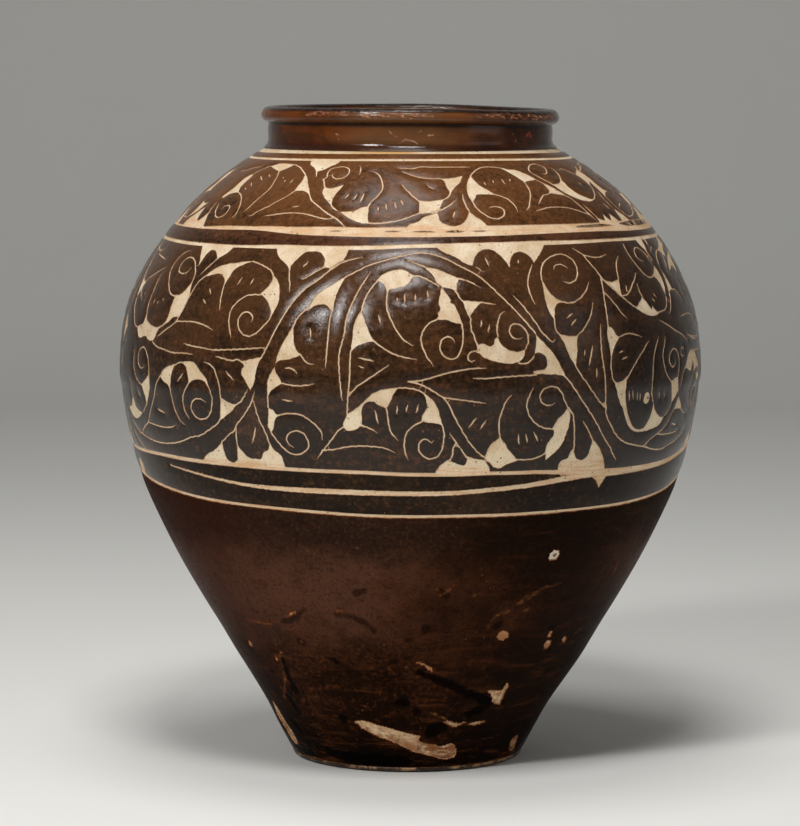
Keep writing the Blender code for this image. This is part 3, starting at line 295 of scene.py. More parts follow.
SHOULDER_TICKS = """
-37.4,65.1 -37.3,58.7; -40.1,64 -39.9,60.8; -41.9,68.3 -41.5,66.1; -31.2,25.4 -29.3,27; -16.6,45
-17.4,38.1; -14.4,44.4 -14.9,36; -12.5,45.5 -13,32.3; 4.7,58.2 6.3,52.4; -8.1,27 -7.9,22.8; -6.2,31.2
-5.9,23.8; -4,33.3 -3.5,25.4; -2.5,37 -1.8,30.2; 11,21.7 10.3,13.8; 21.8,62.4 21.9,57.7; 24.9,65.1
24.7,60.8; 27.9,66.1 28.2,58.2; 30.7,66.1 30.4,63; 57.9,57.1 58.2,53.4; 59.7,25.9 60.6,18.5; -52.5,68.3
-50.1,62.4; -54,58.2 -52.1,51.9; -54.3,49.7 -53.4,47.1; -49.3,71.4 -47.8,67.7;
"""

# The rings cut round the jar: azimuth, then the low and the high edge in percent of their range
NECK_CUT_DRAWING = """
-75,58,68 -55,60,70 -30,63,73 -10,65,76.5 10,65,77 30,63,73.5 55,60,70 75,57,67 130,56,66 180,57,67
-130,57,67
"""
SHOULDER_TOP_DRAWING = """
-75,26,35 -50,27,37 -30,29,39 -10,31,41 10,31.5,41.5 30,30,40 50,27,37 75,24,34 130,25,35 180,27,37
-130,26,36
"""
SHOULDER_FOOT_DRAWING = """
-75,64,69 -60,64,70 -50,66,77 -40,69,80 -35,67,82 -30,63,82 -25,60,83 -20,59,85 -10,57.5,84 0,57,86
10,58,87 20,59,88 30,61,88 40,62,87 50,61,86 60,57,86 70,55,85 80,54,84 110,56,78 150,60,76
180,61,74 -140,62,72 -100,63,70
"""
BELLY_TOP_DRAWING = """
-75,20,28 -60,17,26 -50,17,25.5 -40,19,26 -30,20,31 -20,21,31 -10,22,33 0,27,37 10,29,40 20,30,41
30,30,42 40,30,40 50,31,39 60,29,38 70,28,38 80,28,37 120,27,36 180,24,33 -120,22,31
"""
BELLY_FOOT_DRAWING = """
-75,87,91 -60,88,92 -50,87,91.5 -40,87,91 -30,86.5,91 -20,86,90 -10,85.5,89.5 0,83.5,87.5 10,83,87
15,83.5,87.5 20,83,87 25,82.5,86.7 30,80.5,85.5 35,77,85 40,74,83 45,73,81.5 50,73.5,81 55,74,81
60,75,81.5 65,77,83 70,80,86 75,83,90 85,86,93 120,90,95 180,91,95.5 -130,90,94
"""
LAST_CUT_DRAWING = """
-75,54,58 -70,51.5,55.5 -60,47,50.5 -50,43,46.5 -40,40.5,44 -30,39,42.5 -20,37,40.5 -10,34.5,38
0,33.5,37 10,33.5,37 20,33.2,36.8 30,33.5,37 40,34,37.3 50,34.5,38 60,37,40.5 65,39,42.3 70,41.5,45
75,45,49 90,51,55 120,57,61 180,59,63 -120,60,64 -95,58,62
"""
FOOT_CUT_DRAWING = """
-75,5,28 -50,5,30 -20,5,27.5 10,5,29 40,5,27.5 70,5,30 130,5,28 180,5,29.5 -130,5,28
"""
BELLY_DOT = "51.8,29.4 52.15,29 52.2,28.3 51.8,28.1 51.6,28.6; 7.7,75.6 8.2,75.9 8.6,75.2 8.3,74.4 7.8,74.7"
BORDER_WINDOWS = """
38.8,74c 40.6,66 41.2,60c 41.9,66 42.6,74c;
-78.5,60c -77.5,74 -75.5,76c -74,66 -74.6,56c -76.5,54
"""
BORDER_LINE = """
-57,79 -54,77.3 -50,75 -45,72 -40,69 -35,66.5 -30,65.2 -20,64.3 -10,63.8 0,63 5,63 10,63.7 15,65.7
20,67.6 25,70 30,73.3 35,76.2 40,77.8 44,78
"""
BORDER_LINE_WIDTHS = (0.3, 0.6, 0.7, 0.8, 1.0, 1.3, 1.5, 1.6, 1.6, 1.5, 1.4, 1.4, 1.3, 1.3, 1.3, 1.5,
                      1.7, 1.8, 1.8)
# Slivers of glaze that the cutting tool left standing in the wide shoulder ring
SHOULDER_SLIVERS = """
42,78c 45,75.2 52,75 56,76c 53,80.5 47,81.5 44,80.5;
59.5,79c 63,72 70,69.5 80,68.5c 80,79c 72,82.5 64,83;
0.5,73c 3,71.5 6,72.2c 3.5,75; 7.8,72c 10.5,70 12.6,72.5c 10.3,75.8; -6,73c -4,72.3 -2,73c -4,75;
14,73c 16.5,71.8 18,72.8c 16,74.5; -19,73c -17.3,72 -15.8,73.2c -17.3,74.2
"""


def outline_points():
    """(height, radius) points of the outside, from the foot up to the underside of the rim."""
    points = []
    for height_share, widening in LOWER_BODY_SHARES:
        radius = FOOT_RADIUS + widening * (BELLY_RADIUS - FOOT_RADIUS)
        points.append((height_share * BELLY_HEIGHT, radius))
    points.append((SEAM, BELLY_RADIUS - SEAM_STEP))
    points.append((BELLY_HEIGHT, BELLY_RADIUS))
    neck_foot = NECK_RADIUS + NECK_FLARE
    for height_share, widening in reversed(SHOULDER_SHARES):
        radius = neck_foot + widening * (BELLY_RADIUS - neck_foot)
        points.append((NECK_BASE - height_share * (NECK_BASE - BELLY_HEIGHT), radius))
    start_height = ROLL_CENTRE_HEIGHT + RIM_ROLL_RADIUS * math.sin(ROLL_START)
    for height_share, flare in NECK_SHARES:
        rise = height_share * (start_height - NECK_BASE)
        points.append((NECK_BASE + rise, NECK_RADIUS + flare * NECK_FLARE))
    start_radius = ROLL_CENTRE_RADIUS + RIM_ROLL_RADIUS * math.cos(ROLL_START)
    points.append((start_height, start_radius))
    return np.array(sorted(points))


def eased(share, length, start, end, leaving, arriving):
    """The value a share of the way between two places, from the slope at each of them."""
    value = (2 * share ** 3 - 3 * share ** 2 + 1) * start
    value = value + (share ** 3 - 2 * share ** 2 + share) * length * leaving
    value = value + (3 * share ** 2 - 2 * share ** 3) * end
    return value + (share ** 3 - share ** 2) * length * arriving


def smooth_curve(points, places):
    """Read a smooth curve through points at many places along it."""
    x, y = points[:, 0], points[:, 1]
    slopes = np.empty(len(x))
    slopes[1:-1] = (y[2:] - y[:-2]) / (x[2:] - x[:-2])
    slopes[0] = (y[1] - y[0]) / (x[1] - x[0])
    slopes[-1] = (y[-1] - y[-2]) / (x[-1] - x[-2])
    here = np.clip(np.searchsorted(x, places) - 1, 0, len(x) - 2)
    length = x[here + 1] - x[here]
    share = (places - x[here]) / length
    return eased(share, length, y[here], y[here + 1], slopes[here], slopes[here + 1])


# The outline read finely: height, radius, distance along it, and a place that keeps angles true
OUTLINE = outline_points()
HEIGHTS = np.linspace(0.0, OUTLINE[-1, 0], 8001)
RADII = np.minimum(smooth_curve(OUTLINE, HEIGHTS), BELLY_RADIUS)
STEPS = np.hypot(np.diff(HEIGHTS), np.diff(RADII))
ARCS = np.concatenate([[0.0], np.cumsum(STEPS)])
PLACES = np.concatenate([[0.0], np.cumsum(STEPS * 2 * BELLY_RADIUS / (RADII[1:] + RADII[:-1]))])
SLOPES = np.gradient(RADII, HEIGHTS)
MM = 0.001
HALF_TURN = math.pi * BELLY_RADIUS / MM

# Flat work, in mm: rings that run past both ends, and how ends of lines find what they join
RING_OVERLAP = 20
RING_STEP = 2.5
SEAM_MARGIN = 8
TIP_MARGIN = 2
JOIN_REACH = 1.2
LINE_JOIN_REACH = 0.84
LONGEST_TAPER = 0.45
START_WIDTH = 0.35
END_WIDTH = 0.25

# Corners this near a band's edge, in percent, are pushed out over it
TOP_EDGE = 95.5
FOOT_EDGE = 3.3
EDGE_PUSH = 5.0

# The flat mesh: spacings in mm, and shares of a spacing, a gap or a cut's wall
FLAT_MERGE = 0.02
RING_GAP = 0.8
NEAREST = 0.65
FARTHEST = 1.4
FAN = (-60, -20, 20, 60)
ROW_STEP = 0.866
GRID_GAP = 0.45
EDGE_MARGIN = 0.4
EDGE_REACH = 6.0
UNDER_SPACING = 9.0
UNDER_MARGIN = 3.0
UNDER_SINK = 1.03
DEEP_SHARE = 0.9
LEAST_WALL = 0.6
LEAST_FLOOR = 0.06
WALL_KEPT = 0.97
LEAST_AREA = 1e-7
MARK_REACH = 9.0
MARK_SPACING = 2.2
MARK_MARGIN = 2.5
MARK_CLEARANCE = 3.0


def flat_height(share, span):
    """The flat height, in mm, of a share in percent of the way along the outline between two heights."""
    low, high = np.interp(span, HEIGHTS, ARCS)
    arc = low + np.asarray(share) / 100 * (high - low)
    return np.interp(arc, ARCS, PLACES) / MM


def flat_azimuth(degrees):
    """The flat place across, in mm, of an azimuth in degrees from the front."""
    return np.radians(degrees) * BELLY_RADIUS / MM


def local_scale(flat):
    """How much smaller the jar is than the flat drawing, at each flat height."""
    return np.interp(flat * MM, PLACES, RADII) / BELLY_RADIUS


def wrap(points, depth):
    """The places on the jar of flat points, each sunk by its depth in metres."""
    angle = points[:, 0] * MM / BELLY_RADIUS
    flat = points[:, 1] * MM
    height = np.interp(flat, PLACES, HEIGHTS)
    radius = np.interp(flat, PLACES, RADII)
    slope = np.interp(flat, PLACES, SLOPES)
    length = np.hypot(1.0, slope)
    radius = radius - depth / length
    height = height + depth * slope / length
    return np.stack([radius * np.sin(angle), -radius * np.cos(angle), height], 1)


def outside(height, depth=0.0):
    """The (radius, height) point that lies depth inside the outline, square to it, from a height."""
    slope = float(np.interp(height, HEIGHTS, SLOPES))
    length = math.hypot(1.0, slope)
    return (float(np.interp(height, HEIGHTS, RADII)) - depth / length, height + depth * slope / length)


def read_drawing(text, span):
    """Rows of azimuth,share words as pairs of numbers, marks of which are corners, and their range."""
    rows = []
    for row in text.split(";"):
        words = row.split()
        if words:
            corners = [word.endswith("c") for word in words]
            pairs = np.array([[float(part) for part in word.rstrip("c").split(",")] for word in words])
            rows.append((pairs, corners, span))
    return rows


def flat_points(pairs, span):
    """Flat points of azimuth and share pairs."""
    return np.stack([flat_azimuth(pairs[:, 0]), flat_height(pairs[:, 1], span)], 1)


def curve_through(points, spacing):
    """A smooth open curve through points, cut up into even steps."""
    if len(points) == 2:
        count = max(1, int(np.ceil(np.linalg.norm(points[1] - points[0]) / spacing)))
        return points[0] + (points[1] - points[0]) * (np.arange(count + 1) / count)[:, None]
    gaps = np.linalg.norm(np.diff(points, axis=0), axis=1)
    gaps = np.maximum(gaps, 1e-6)
    legs = np.diff(points, axis=0) / gaps[:, None]
    tangents = np.empty_like(points)
    weight = (gaps[1:] / (gaps[1:] + gaps[:-1]))[:, None]
    tangents[1:-1] = legs[:-1] * weight + legs[1:] * (1 - weight)
    tangents[0] = 1.5 * legs[0] - 0.5 * tangents[1]
    tangents[-1] = 1.5 * legs[-1] - 0.5 * tangents[-2]
    made = [points[:1]]
    for index, gap in enumerate(gaps):
        count = max(1, int(round(gap / spacing)))
        share = (np.arange(1, count + 1) / count)[:, None]
        after = index + 1
        made.append(eased(share, gap, points[index], points[after], tangents[index], tangents[after]))
    return np.concatenate(made)


def closed_through(points, corners, spacing):
    """A closed outline through points, smooth but for its corners."""
    marked = [index for index, corner in enumerate(corners) if corner]
    start = marked[0] if marked else 0
    order = list(range(start, len(points))) + list(range(start)) + [start]
    made = []
    run = [points[order[0]]]
    for index in order[1:]:
        run.append(points[index])
        if corners[index] or index == start:
            made.append(curve_through(np.array(run), spacing)[:-1])
            run = [points[index]]
    return np.concatenate(made)


def distance_to(points, line, widths=None):
    """The least distance from each point to a line of many parts, less the line's half width there."""
    best = np.full(len(points), 1e9)
    for index in range(len(line) - 1):
        start = line[index]
        leg = line[index + 1] - start
        length = max(float(leg @ leg), 1e-12)
        share = np.clip(((points - start) @ leg) / length, 0, 1)
        gap = np.linalg.norm(points - start - share[:, None] * leg, axis=1)
        if widths is not None:
            gap = gap - (widths[index] * (1 - share) + widths[index + 1] * share)
        best = np.minimum(best, gap)
    return best


def inside_of(points, loop):
    """Which points lie inside a closed loop."""
    inside = np.zeros(len(points), bool)
    x, y = points[:, 0], points[:, 1]
    before = loop[-1]
    for here in loop:
        crosses = (here[1] > y) != (before[1] > y)
        if crosses.any():
            rise = before[1] - here[1]
            across = here[0] + (y - here[1]) * (before[0] - here[0]) / (rise if rise else 1e-12)
            inside ^= crosses & (x < across)
        before = here
    return inside


class Cut:
    """One carved shape: a closed window, or a line with a half width at each of its points.

    An island is a closed patch of glaze that is left standing inside another cut.
    """

    def __init__(self, line, widths=None, island=False):
        self.line = line
        self.widths = widths
        self.island = island
        reach = 0.0 if widths is None else float(widths.max())
        self.low = line.min(0) - reach
        self.high = line.max(0) + reach

    def measure(self, points):
        """Signed distance to the cut's edge in mm on the jar: negative inside the cut."""
        if self.widths is None:
            loop = np.concatenate([self.line, self.line[:1]])
            away = distance_to(points, loop)
            away = np.where(inside_of(points, self.line), -away, away)
        else:
            away = distance_to(points, self.line, self.widths)
        return away


def edge_distance(points, cuts, reach):
    """Distance in mm on the jar to the nearest cut edge: negative where the glaze is cut away."""
    best = np.full(len(points), reach)
    for cut in sorted(cuts, key=lambda cut: cut.island):
        near = np.all((points > cut.low - reach) & (points < cut.high + reach), axis=1)
        if near.any():
            away = cut.measure(points[near])
            best[near] = np.maximum(best[near], -away) if cut.island else np.minimum(best[near], away)
    return best * local_scale(points[:, 1])


def offset_line(line, distances, closed):
    """A line moved sideways by a distance at each point."""
    if closed:
        ahead = np.roll(line, -1, 0) - line
        behind = line - np.roll(line, 1, 0)
    else:
        ahead = np.diff(line, axis=0, append=line[-1:] * 2 - line[-2:-1])
        behind = np.diff(line, axis=0, prepend=line[:1] * 2 - line[1:2])
    ahead = ahead / np.maximum(np.linalg.norm(ahead, axis=1), 1e-9)[:, None]
    behind = behind / np.maximum(np.linalg.norm(behind, axis=1), 1e-9)[:, None]
    sides = np.stack([-(ahead[:, 1] + behind[:, 1]), ahead[:, 0] + behind[:, 0]], 1)
    length = np.linalg.norm(sides, axis=1)
    reach = np.minimum(2 / np.maximum(length, 0.7), 2.2)
    sides = sides / np.maximum(length, 1e-9)[:, None]
    return line + sides * (distances * reach)[:, None]


def ring_edges(text, span):
    """The low and high edge of a cut ring, in flat mm, as smooth curves round the jar by azimuth."""
    rows = np.array([[float(part) for part in word.split(",")] for word in text.split()])
    rows = rows[np.argsort(rows[:, 0])]
    turned = np.concatenate([rows - [360, 0, 0], rows, rows + [360, 0, 0]])
    low = np.stack([turned[:, 0], flat_height(turned[:, 1], span)], 1)
    high = np.stack([turned[:, 0], flat_height(turned[:, 2], span)], 1)
    return low, high


def ring_share(ring, share, flat_x):
    """The flat height at a share of the way across a cut ring, at flat places across."""
    degrees = np.degrees(flat_x * MM / BELLY_RADIUS)
    low = smooth_curve(ring[0], degrees)
    high = smooth_curve(ring[1], degrees)
    return low + share * (high - low)


def ring_cut(ring):
    """A cut ring as one long window that runs past both ends of the flat drawing."""
    across = np.arange(-HALF_TURN - RING_OVERLAP, HALF_TURN + RING_OVERLAP, RING_STEP)
    low = np.stack([across, ring_share(ring, 0.0, across)], 1)
    high = np.stack([across, ring_share(ring, 1.0, across)], 1)
    return Cut(np.concatenate([low, high[::-1]]))


def hand_shaken(line, shake):
    """A drawn line with the small unsteadiness of a hand-held tool, the same wherever lines meet."""
    x, y = line[:, 0], line[:, 1]
    across = np.sin(1.43 * y + 0.61 * x) + 0.6 * np.sin(2.9 * y - 0.9 * x + 1.0)
    upward = np.sin(1.37 * x - 0.53 * y + 2.0) + 0.6 * np.sin(2.7 * x + 1.1 * y)
    return line + shake * 0.6 * np.stack([across, upward], 1)


def counter_clockwise(loop):
    """The same loop, running counter-clockwise."""
    x, y = loop[:, 0], loop[:, 1]
    area = float(np.sum(x * np.roll(y, -1) - np.roll(x, -1) * y))
    return loop if area > 0 else loop[::-1]


def carried_round(rows, shifts):
    """Rows of a drawing with copies of the ones between two azimuths carried round the jar."""
    made = list(rows)
    for low, high, pivot, target, squeeze in shifts:
        for pairs, corners, span in rows:
            middle = pairs[:, 0].mean()
            if low < middle < high:
                moved = pairs.copy()
                moved[:, 0] = target + (pairs[:, 0] - pivot) * squeeze
                made.append((moved, corners, span))
    return made


def windows_of(rows, spacing, shake):
    """Closed window cuts from rows of a drawing, pushed out over the band's edges where they meet them."""
    made = []
    for pairs, corners, span in rows:
        pairs = pairs.copy()
        for index, corner in enumerate(corners):
            if corner and pairs[index, 1] > TOP_EDGE:
                pairs[index, 1] = 100 + EDGE_PUSH
            if corner and pairs[index, 1] < FOOT_EDGE:
                pairs[index, 1] = -EDGE_PUSH
        points = flat_points(pairs, span)
        scale = float(local_scale(points[:, 1]).mean())
        loop = counter_clockwise(closed_through(points, corners, spacing / scale))
        made.append(Cut(hand_shaken(loop, shake)))
    return made


def lines_of(rows, windows, half_width, spacing, taper, shake):
    """Line cuts from rows of a drawing: full width where they join another cut, tapered at a free end."""
    drawn = []
    for pairs, _, span in rows:
        points = flat_points(pairs, span)
        scale = float(local_scale(points[:, 1]).mean())
        drawn.append((hand_shaken(curve_through(points, spacing / scale), shake), scale))
    tips = np.array([line[end] for line, _ in drawn for end in (0, -1)])
    joined = np.zeros(len(tips), bool)
    for window in windows:
        near = np.all((tips > window.low - TIP_MARGIN) & (tips < window.high + TIP_MARGIN), axis=1) & ~joined
        if near.any():
            joined[near] |= window.measure(tips[near]) < JOIN_REACH
    for index, (line, _) in enumerate(drawn):
        low, high = line.min(0) - TIP_MARGIN, line.max(0) + TIP_MARGIN
        near = np.all((tips > low) & (tips < high), axis=1) & ~joined
        near[2 * index:2 * index + 2] = False
        if near.any():
            joined[near] |= distance_to(tips[near], line) < LINE_JOIN_REACH
    made = []
    for index, (line, scale) in enumerate(drawn):
        along = np.concatenate([[0.0], np.cumsum(np.linalg.norm(np.diff(line, axis=0), axis=1))]) * scale
        width = np.full(len(line), half_width)
        reach = min(taper, along[-1] * LONGEST_TAPER)
        if not joined[2 * index]:
            width *= np.clip(START_WIDTH + (1 - START_WIDTH) * along / reach, 0, 1)
        if not joined[2 * index + 1]:
            width *= np.clip(END_WIDTH + (1 - END_WIDTH) * (along[-1] - along) / reach, 0, 1)
        made.append(Cut(line, width / scale))
    return made


class Layout:
    """Points and edges gathered for one flat triangulation."""

    def __init__(self):
        self.points = []
        self.edges = []
        self.count = 0

    def add(self, points, closed=False, linked=True, kept=None):
        """Add points, joined in a row, apart from those that aren't kept."""
        numbers = np.full(len(points), -1)
        kept = np.ones(len(points), bool) if kept is None else kept
        numbers[kept] = self.count + np.arange(int(kept.sum()))
        self.points.append(points[kept])
        self.count += int(kept.sum())
        if linked:
            last = len(points) if closed else len(points) - 1
            for index in range(last):
                pair = (int(numbers[index]), int(numbers[(index + 1) % len(points)]))
                if pair[0] >= 0 and pair[1] >= 0:
                    self.edges.append(pair)

    def solve(self):
        """Triangulate: the flat points, the triangles, and each point's source numbers."""
        points = np.concatenate(self.points)
        made = delaunay_2d_cdt([Vector(point) for point in points], self.edges, [], 0, FLAT_MERGE)
        flat = np.array([tuple(point) for point in made[0]])
        triangles = np.array([tuple(face) for face in made[2]])
        return flat, triangles, made[3]


def lattice(low, high, spacing):
    """Evenly staggered points that fill a flat box."""
    rows = np.arange(low[1], high[1], spacing * ROW_STEP)
    made = []
    for index, row in enumerate(rows):
        across = np.arange(low[0] + (index % 2) * spacing / 2, high[0], spacing)
        made.append(np.stack([across, np.full(len(across), row)], 1))
    return np.concatenate(made)


def lay_cut(layout, cut, cuts, wall, ring_gap):
    """Lay one cut's edge, the foot of its wall and a loose row of points outside it."""
    scale = local_scale(cut.line[:, 1])
    if cut.widths is None:
        layout.add(cut.line, closed=True)
        foot = offset_line(cut.line, wall / scale, True)
        deep = cut.measure(foot) < -LEAST_WALL * wall / scale
        layout.add(foot, closed=True, kept=deep)
        near = [offset_line(cut.line, -ring_gap / scale, True)]
    else:
        left = offset_line(cut.line, cut.widths, False)
        right = offset_line(cut.line, -cut.widths, False)
        layout.add(np.concatenate([left, right[::-1]]), closed=True)
        spare = cut.widths - wall / scale
        wide = spare > LEAST_FLOOR
        layout.add(cut.line, kept=~wide)
        foot_left = offset_line(cut.line, spare, False)
        foot_right = offset_line(cut.line, -spare, False)
        layout.add(np.concatenate([foot_left, foot_right[::-1]]), closed=True,
                   kept=np.concatenate([wide, wide[::-1]]))
        gap = cut.widths + ring_gap / scale
        near = [offset_line(cut.line, gap, False)[::2], offset_line(cut.line, -gap, False)[::2]]
        for end, inner in ((0, 1), (-1, -2)):
            ahead = math.atan2(*(cut.line[end] - cut.line[inner])[::-1])
            turns = ahead + np.radians(FAN)
            near.append(cut.line[end] + gap[end] * np.stack([np.cos(turns), np.sin(turns)], 1))
    loose = np.concatenate(near)
    away = edge_distance(loose, cuts, 2 * ring_gap)
    layout.add(loose, linked=False, kept=(away > NEAREST * ring_gap) & (away < FARTHEST * ring_gap))


def regions_of(triangles, fences, votes):
    """Group triangles into regions that no fence crosses, and settle each region by its votes."""
    links = {}
    for number, face in enumerate(triangles):
        for start, end in ((face[0], face[1]), (face[1], face[2]), (face[2], face[0])):
            key = (start, end) if start < end else (end, start)
            if key not in fences:
                links.setdefault(key, []).append(number)
    neighbours = [[] for _ in triangles]
    for pair in links.values():
        if len(pair) == 2:
            neighbours[pair[0]].append(pair[1])
            neighbours[pair[1]].append(pair[0])
    settled = np.full(len(triangles), -1)
    for seed in range(len(triangles)):
        if settled[seed] >= 0:
            continue
        group = [seed]
        settled[seed] = 0
        for number in group:
            for other in neighbours[number]:
                if settled[other] < 0:
                    settled[other] = 0
                    group.append(other)
        settled[group] = 1 if votes[group].sum() > 0 else 0
    return settled.astype(bool)


def triangle_areas(flat, triangles):
    """Signed flat areas."""
    a, b, c = (flat[triangles[:, index]] for index in range(3))
    return 0.5 * ((b[:, 0] - a[:, 0]) * (c[:, 1] - a[:, 1]) - (c[:, 0] - a[:, 0]) * (b[:, 1] - a[:, 1]))


class Band:
    """A band of glaze laid out flat: its two edges, its cuts, and the wall of a cut."""

    def __init__(self, low_edge, high_edge, cuts, wall):
        self.low_edge = low_edge
        self.high_edge = high_edge
        self.cuts = cuts
        self.wall = wall
        self.across = np.arange(-HALF_TURN, HALF_TURN + 1e-6, HALF_TURN / 180)
        self.low = np.stack([self.across, low_edge(self.across)], 1)
        self.high = np.stack([self.across, high_edge(self.across)], 1)

    def box(self, spacing):
        """The lowest and highest flat corner that points inside the band can have."""
        low = np.array([-HALF_TURN + spacing / 2, self.low[:, 1].min()])
        return low, np.array([HALF_TURN - spacing / 2, self.high[:, 1].max()])

    def holds(self, points, margin=0.0):
        """Which points lie between the edges, by a margin in mm."""
        above = points[:, 1] > self.low_edge(points[:, 0]) + margin
        return above & (points[:, 1] < self.high_edge(points[:, 0]) - margin)

    def keeps(self, points):
        """Which points lie in glaze that is left, counting the walls of the cuts."""
        inside = (np.abs(points[:, 0]) < HALF_TURN) & self.holds(points)
        return inside & (edge_distance(points, self.cuts, 0.5) > -WALL_KEPT * self.wall)

    def lay_top(self, spacing, marks):
        """Lay out the top: edges, seam, cuts, and loose points that are closer along marks."""
        layout = Layout()
        layout.add(self.low)
        layout.add(self.high)
        seam_low = float(self.low_edge(np.array([HALF_TURN]))[0])
        seam_high = float(self.high_edge(np.array([HALF_TURN]))[0])
        rows = np.linspace(seam_low, seam_high, max(3, int((seam_high - seam_low) / spacing)))
        for side in (-HALF_TURN, HALF_TURN):
            layout.add(np.stack([np.full(len(rows), side), rows], 1))
        for cut in self.cuts:
            if cut.island:
                layout.add(cut.line, closed=True)
            else:
                lay_cut(layout, cut, self.cuts, self.wall, RING_GAP)
        grid = lattice(*self.box(spacing), spacing)
        gap = RING_GAP + GRID_GAP * spacing * local_scale(grid[:, 1])
        free = edge_distance(grid, self.cuts, 2 * spacing) > gap
        layout.add(grid, linked=False, kept=free & self.holds(grid, EDGE_MARGIN))
        if marks:
            close = lattice(*self.box(spacing), MARK_SPACING)
            close = close[close[:, 1] < self.high_edge(close[:, 0]) - EDGE_MARGIN]
            close = close[mark_distance(wrap(close, 0.0), marks) < MARK_MARGIN]
            clear = edge_distance(close, self.cuts, MARK_CLEARANCE) > RING_GAP
            layout.add(close, linked=False, kept=clear)
        return layout

    def lay_underside(self, rim, rim_points, flat, spacing):
        """Lay out the underside: the top's open edges and a coarse filling."""
        number = {int(point): index for index, point in enumerate(rim_points)}
        under = Layout()
        under.points.append(flat[rim_points])
        under.count = len(rim_points)
        under.edges = [(number[int(start)], number[int(end)]) for start, end in rim]
        box_low, box_high = self.box(spacing)
        coarse = lattice(box_low + UNDER_MARGIN, box_high - UNDER_MARGIN, UNDER_SPACING)
        clear = edge_distance(coarse, self.cuts, UNDER_SPACING) > UNDER_MARGIN
        under.add(coarse, linked=False, kept=clear & self.holds(coarse, UNDER_MARGIN))
        return under

    def underside(self, under):
        """Triangulate the underside: flat points, triangles facing the clay, and source numbers."""
        flat, faces, sources = under.solve()
        area = triangle_areas(flat, faces)
        votes = np.where(self.keeps(flat[faces].mean(1)), 1.0, -1.0) * np.abs(area)
        made_number = {}
        for index, source in enumerate(sources):
            for item in source:
                made_number[item] = index
        fences = set()
        for start, end in under.edges:
            start, end = made_number[start], made_number[end]
            fences.add((start, end) if start < end else (end, start))
        left = regions_of(faces, fences, votes)
        faces, area = faces[left], area[left]
        return flat, np.where((area > 0)[:, None], faces[:, ::-1], faces), sources


def carve_band(name, band, relief, spacing, marks=()):
    """A closed coat of glaze with every cut taken out of it: top, walls and underside."""
    full, puff, soft = relief
    flat, triangles, _ = band.lay_top(spacing, marks).solve()
    area = triangle_areas(flat, triangles)
    triangles = np.where((area < 0)[:, None], triangles[:, ::-1], triangles)
    triangles = triangles[band.keeps(flat[triangles].mean(1)) & (np.abs(area) > LEAST_AREA)]
    away = edge_distance(flat, band.cuts, EDGE_REACH)
    lift = np.where(away >= 0, puff * np.exp(-np.maximum(away, 0) / soft), 0.0)
    sunk = puff + (full - puff) * np.clip(-away / band.wall, 0, 1)
    depth = np.where(away >= 0, lift, sunk)
    sides = np.sort(np.concatenate([triangles[:, [0, 1]], triangles[:, [1, 2]], triangles[:, [2, 0]]]), 1)
    pairs, times = np.unique(sides, axis=0, return_counts=True)
    rim = pairs[times == 1]
    rim_points = np.unique(rim)
    under = band.lay_underside(rim, rim_points, flat, spacing)
    under_flat, under_faces, sources = band.underside(under)
    on_seam = np.abs(np.abs(flat[:, 0]) - HALF_TURN) < 1e-3
    shared = {}
    for index, source in enumerate(sources):
        for item in source:
            if item < len(rim_points):
                point = int(rim_points[item])
                if not on_seam[point] or depth[point] > DEEP_SHARE * full:
                    shared[index] = point
    spare = [index for index in range(len(under_flat)) if index not in shared]
    sunk = np.full(len(spare), full * UNDER_SINK)
    places = np.concatenate([wrap(flat, depth), wrap(under_flat[spare], sunk)])
    target = np.zeros(len(under_flat), int)
    for index, point in shared.items():
        target[index] = point
    for order, index in enumerate(spare):
        target[index] = len(flat) + order
    faces = np.concatenate([triangles, target[under_faces]])
    edge_values = np.concatenate([away, np.full(len(spare), EDGE_REACH)])
    return carved_piece(name, places, faces, edge_values)


def carved_piece(name, places, faces, edge_values):
    """A mesh object from places and triangles, with its seam closed and loose points dropped."""
    used = np.unique(faces)
    renumber = np.zeros(len(places), int)
    renumber[used] = np.arange(len(used))
    mesh = bpy.data.meshes.new(name)
    mesh.from_pydata(places[used].tolist(), [], renumber[faces].tolist())
    attribute = mesh.attributes.new("edge", "FLOAT", "POINT")
    attribute.data.foreach_set("value", edge_values[used].astype(np.float32))
    shape = bmesh.new()
    shape.from_mesh(mesh)
    seam = [point for point in shape.verts if point.co.y > 0 and abs(point.co.x) < 1e-5]
    bmesh.ops.remove_doubles(shape, verts=seam, dist=2e-6)
    shape.to_mesh(mesh)
    shape.free()
    piece = bpy.data.objects.new(name, mesh)
    bpy.context.scene.collection.objects.link(piece)
    mesh.shade_smooth()
    mesh.set_sharp_from_angle(angle=SHARP_ANGLE)
    return piece


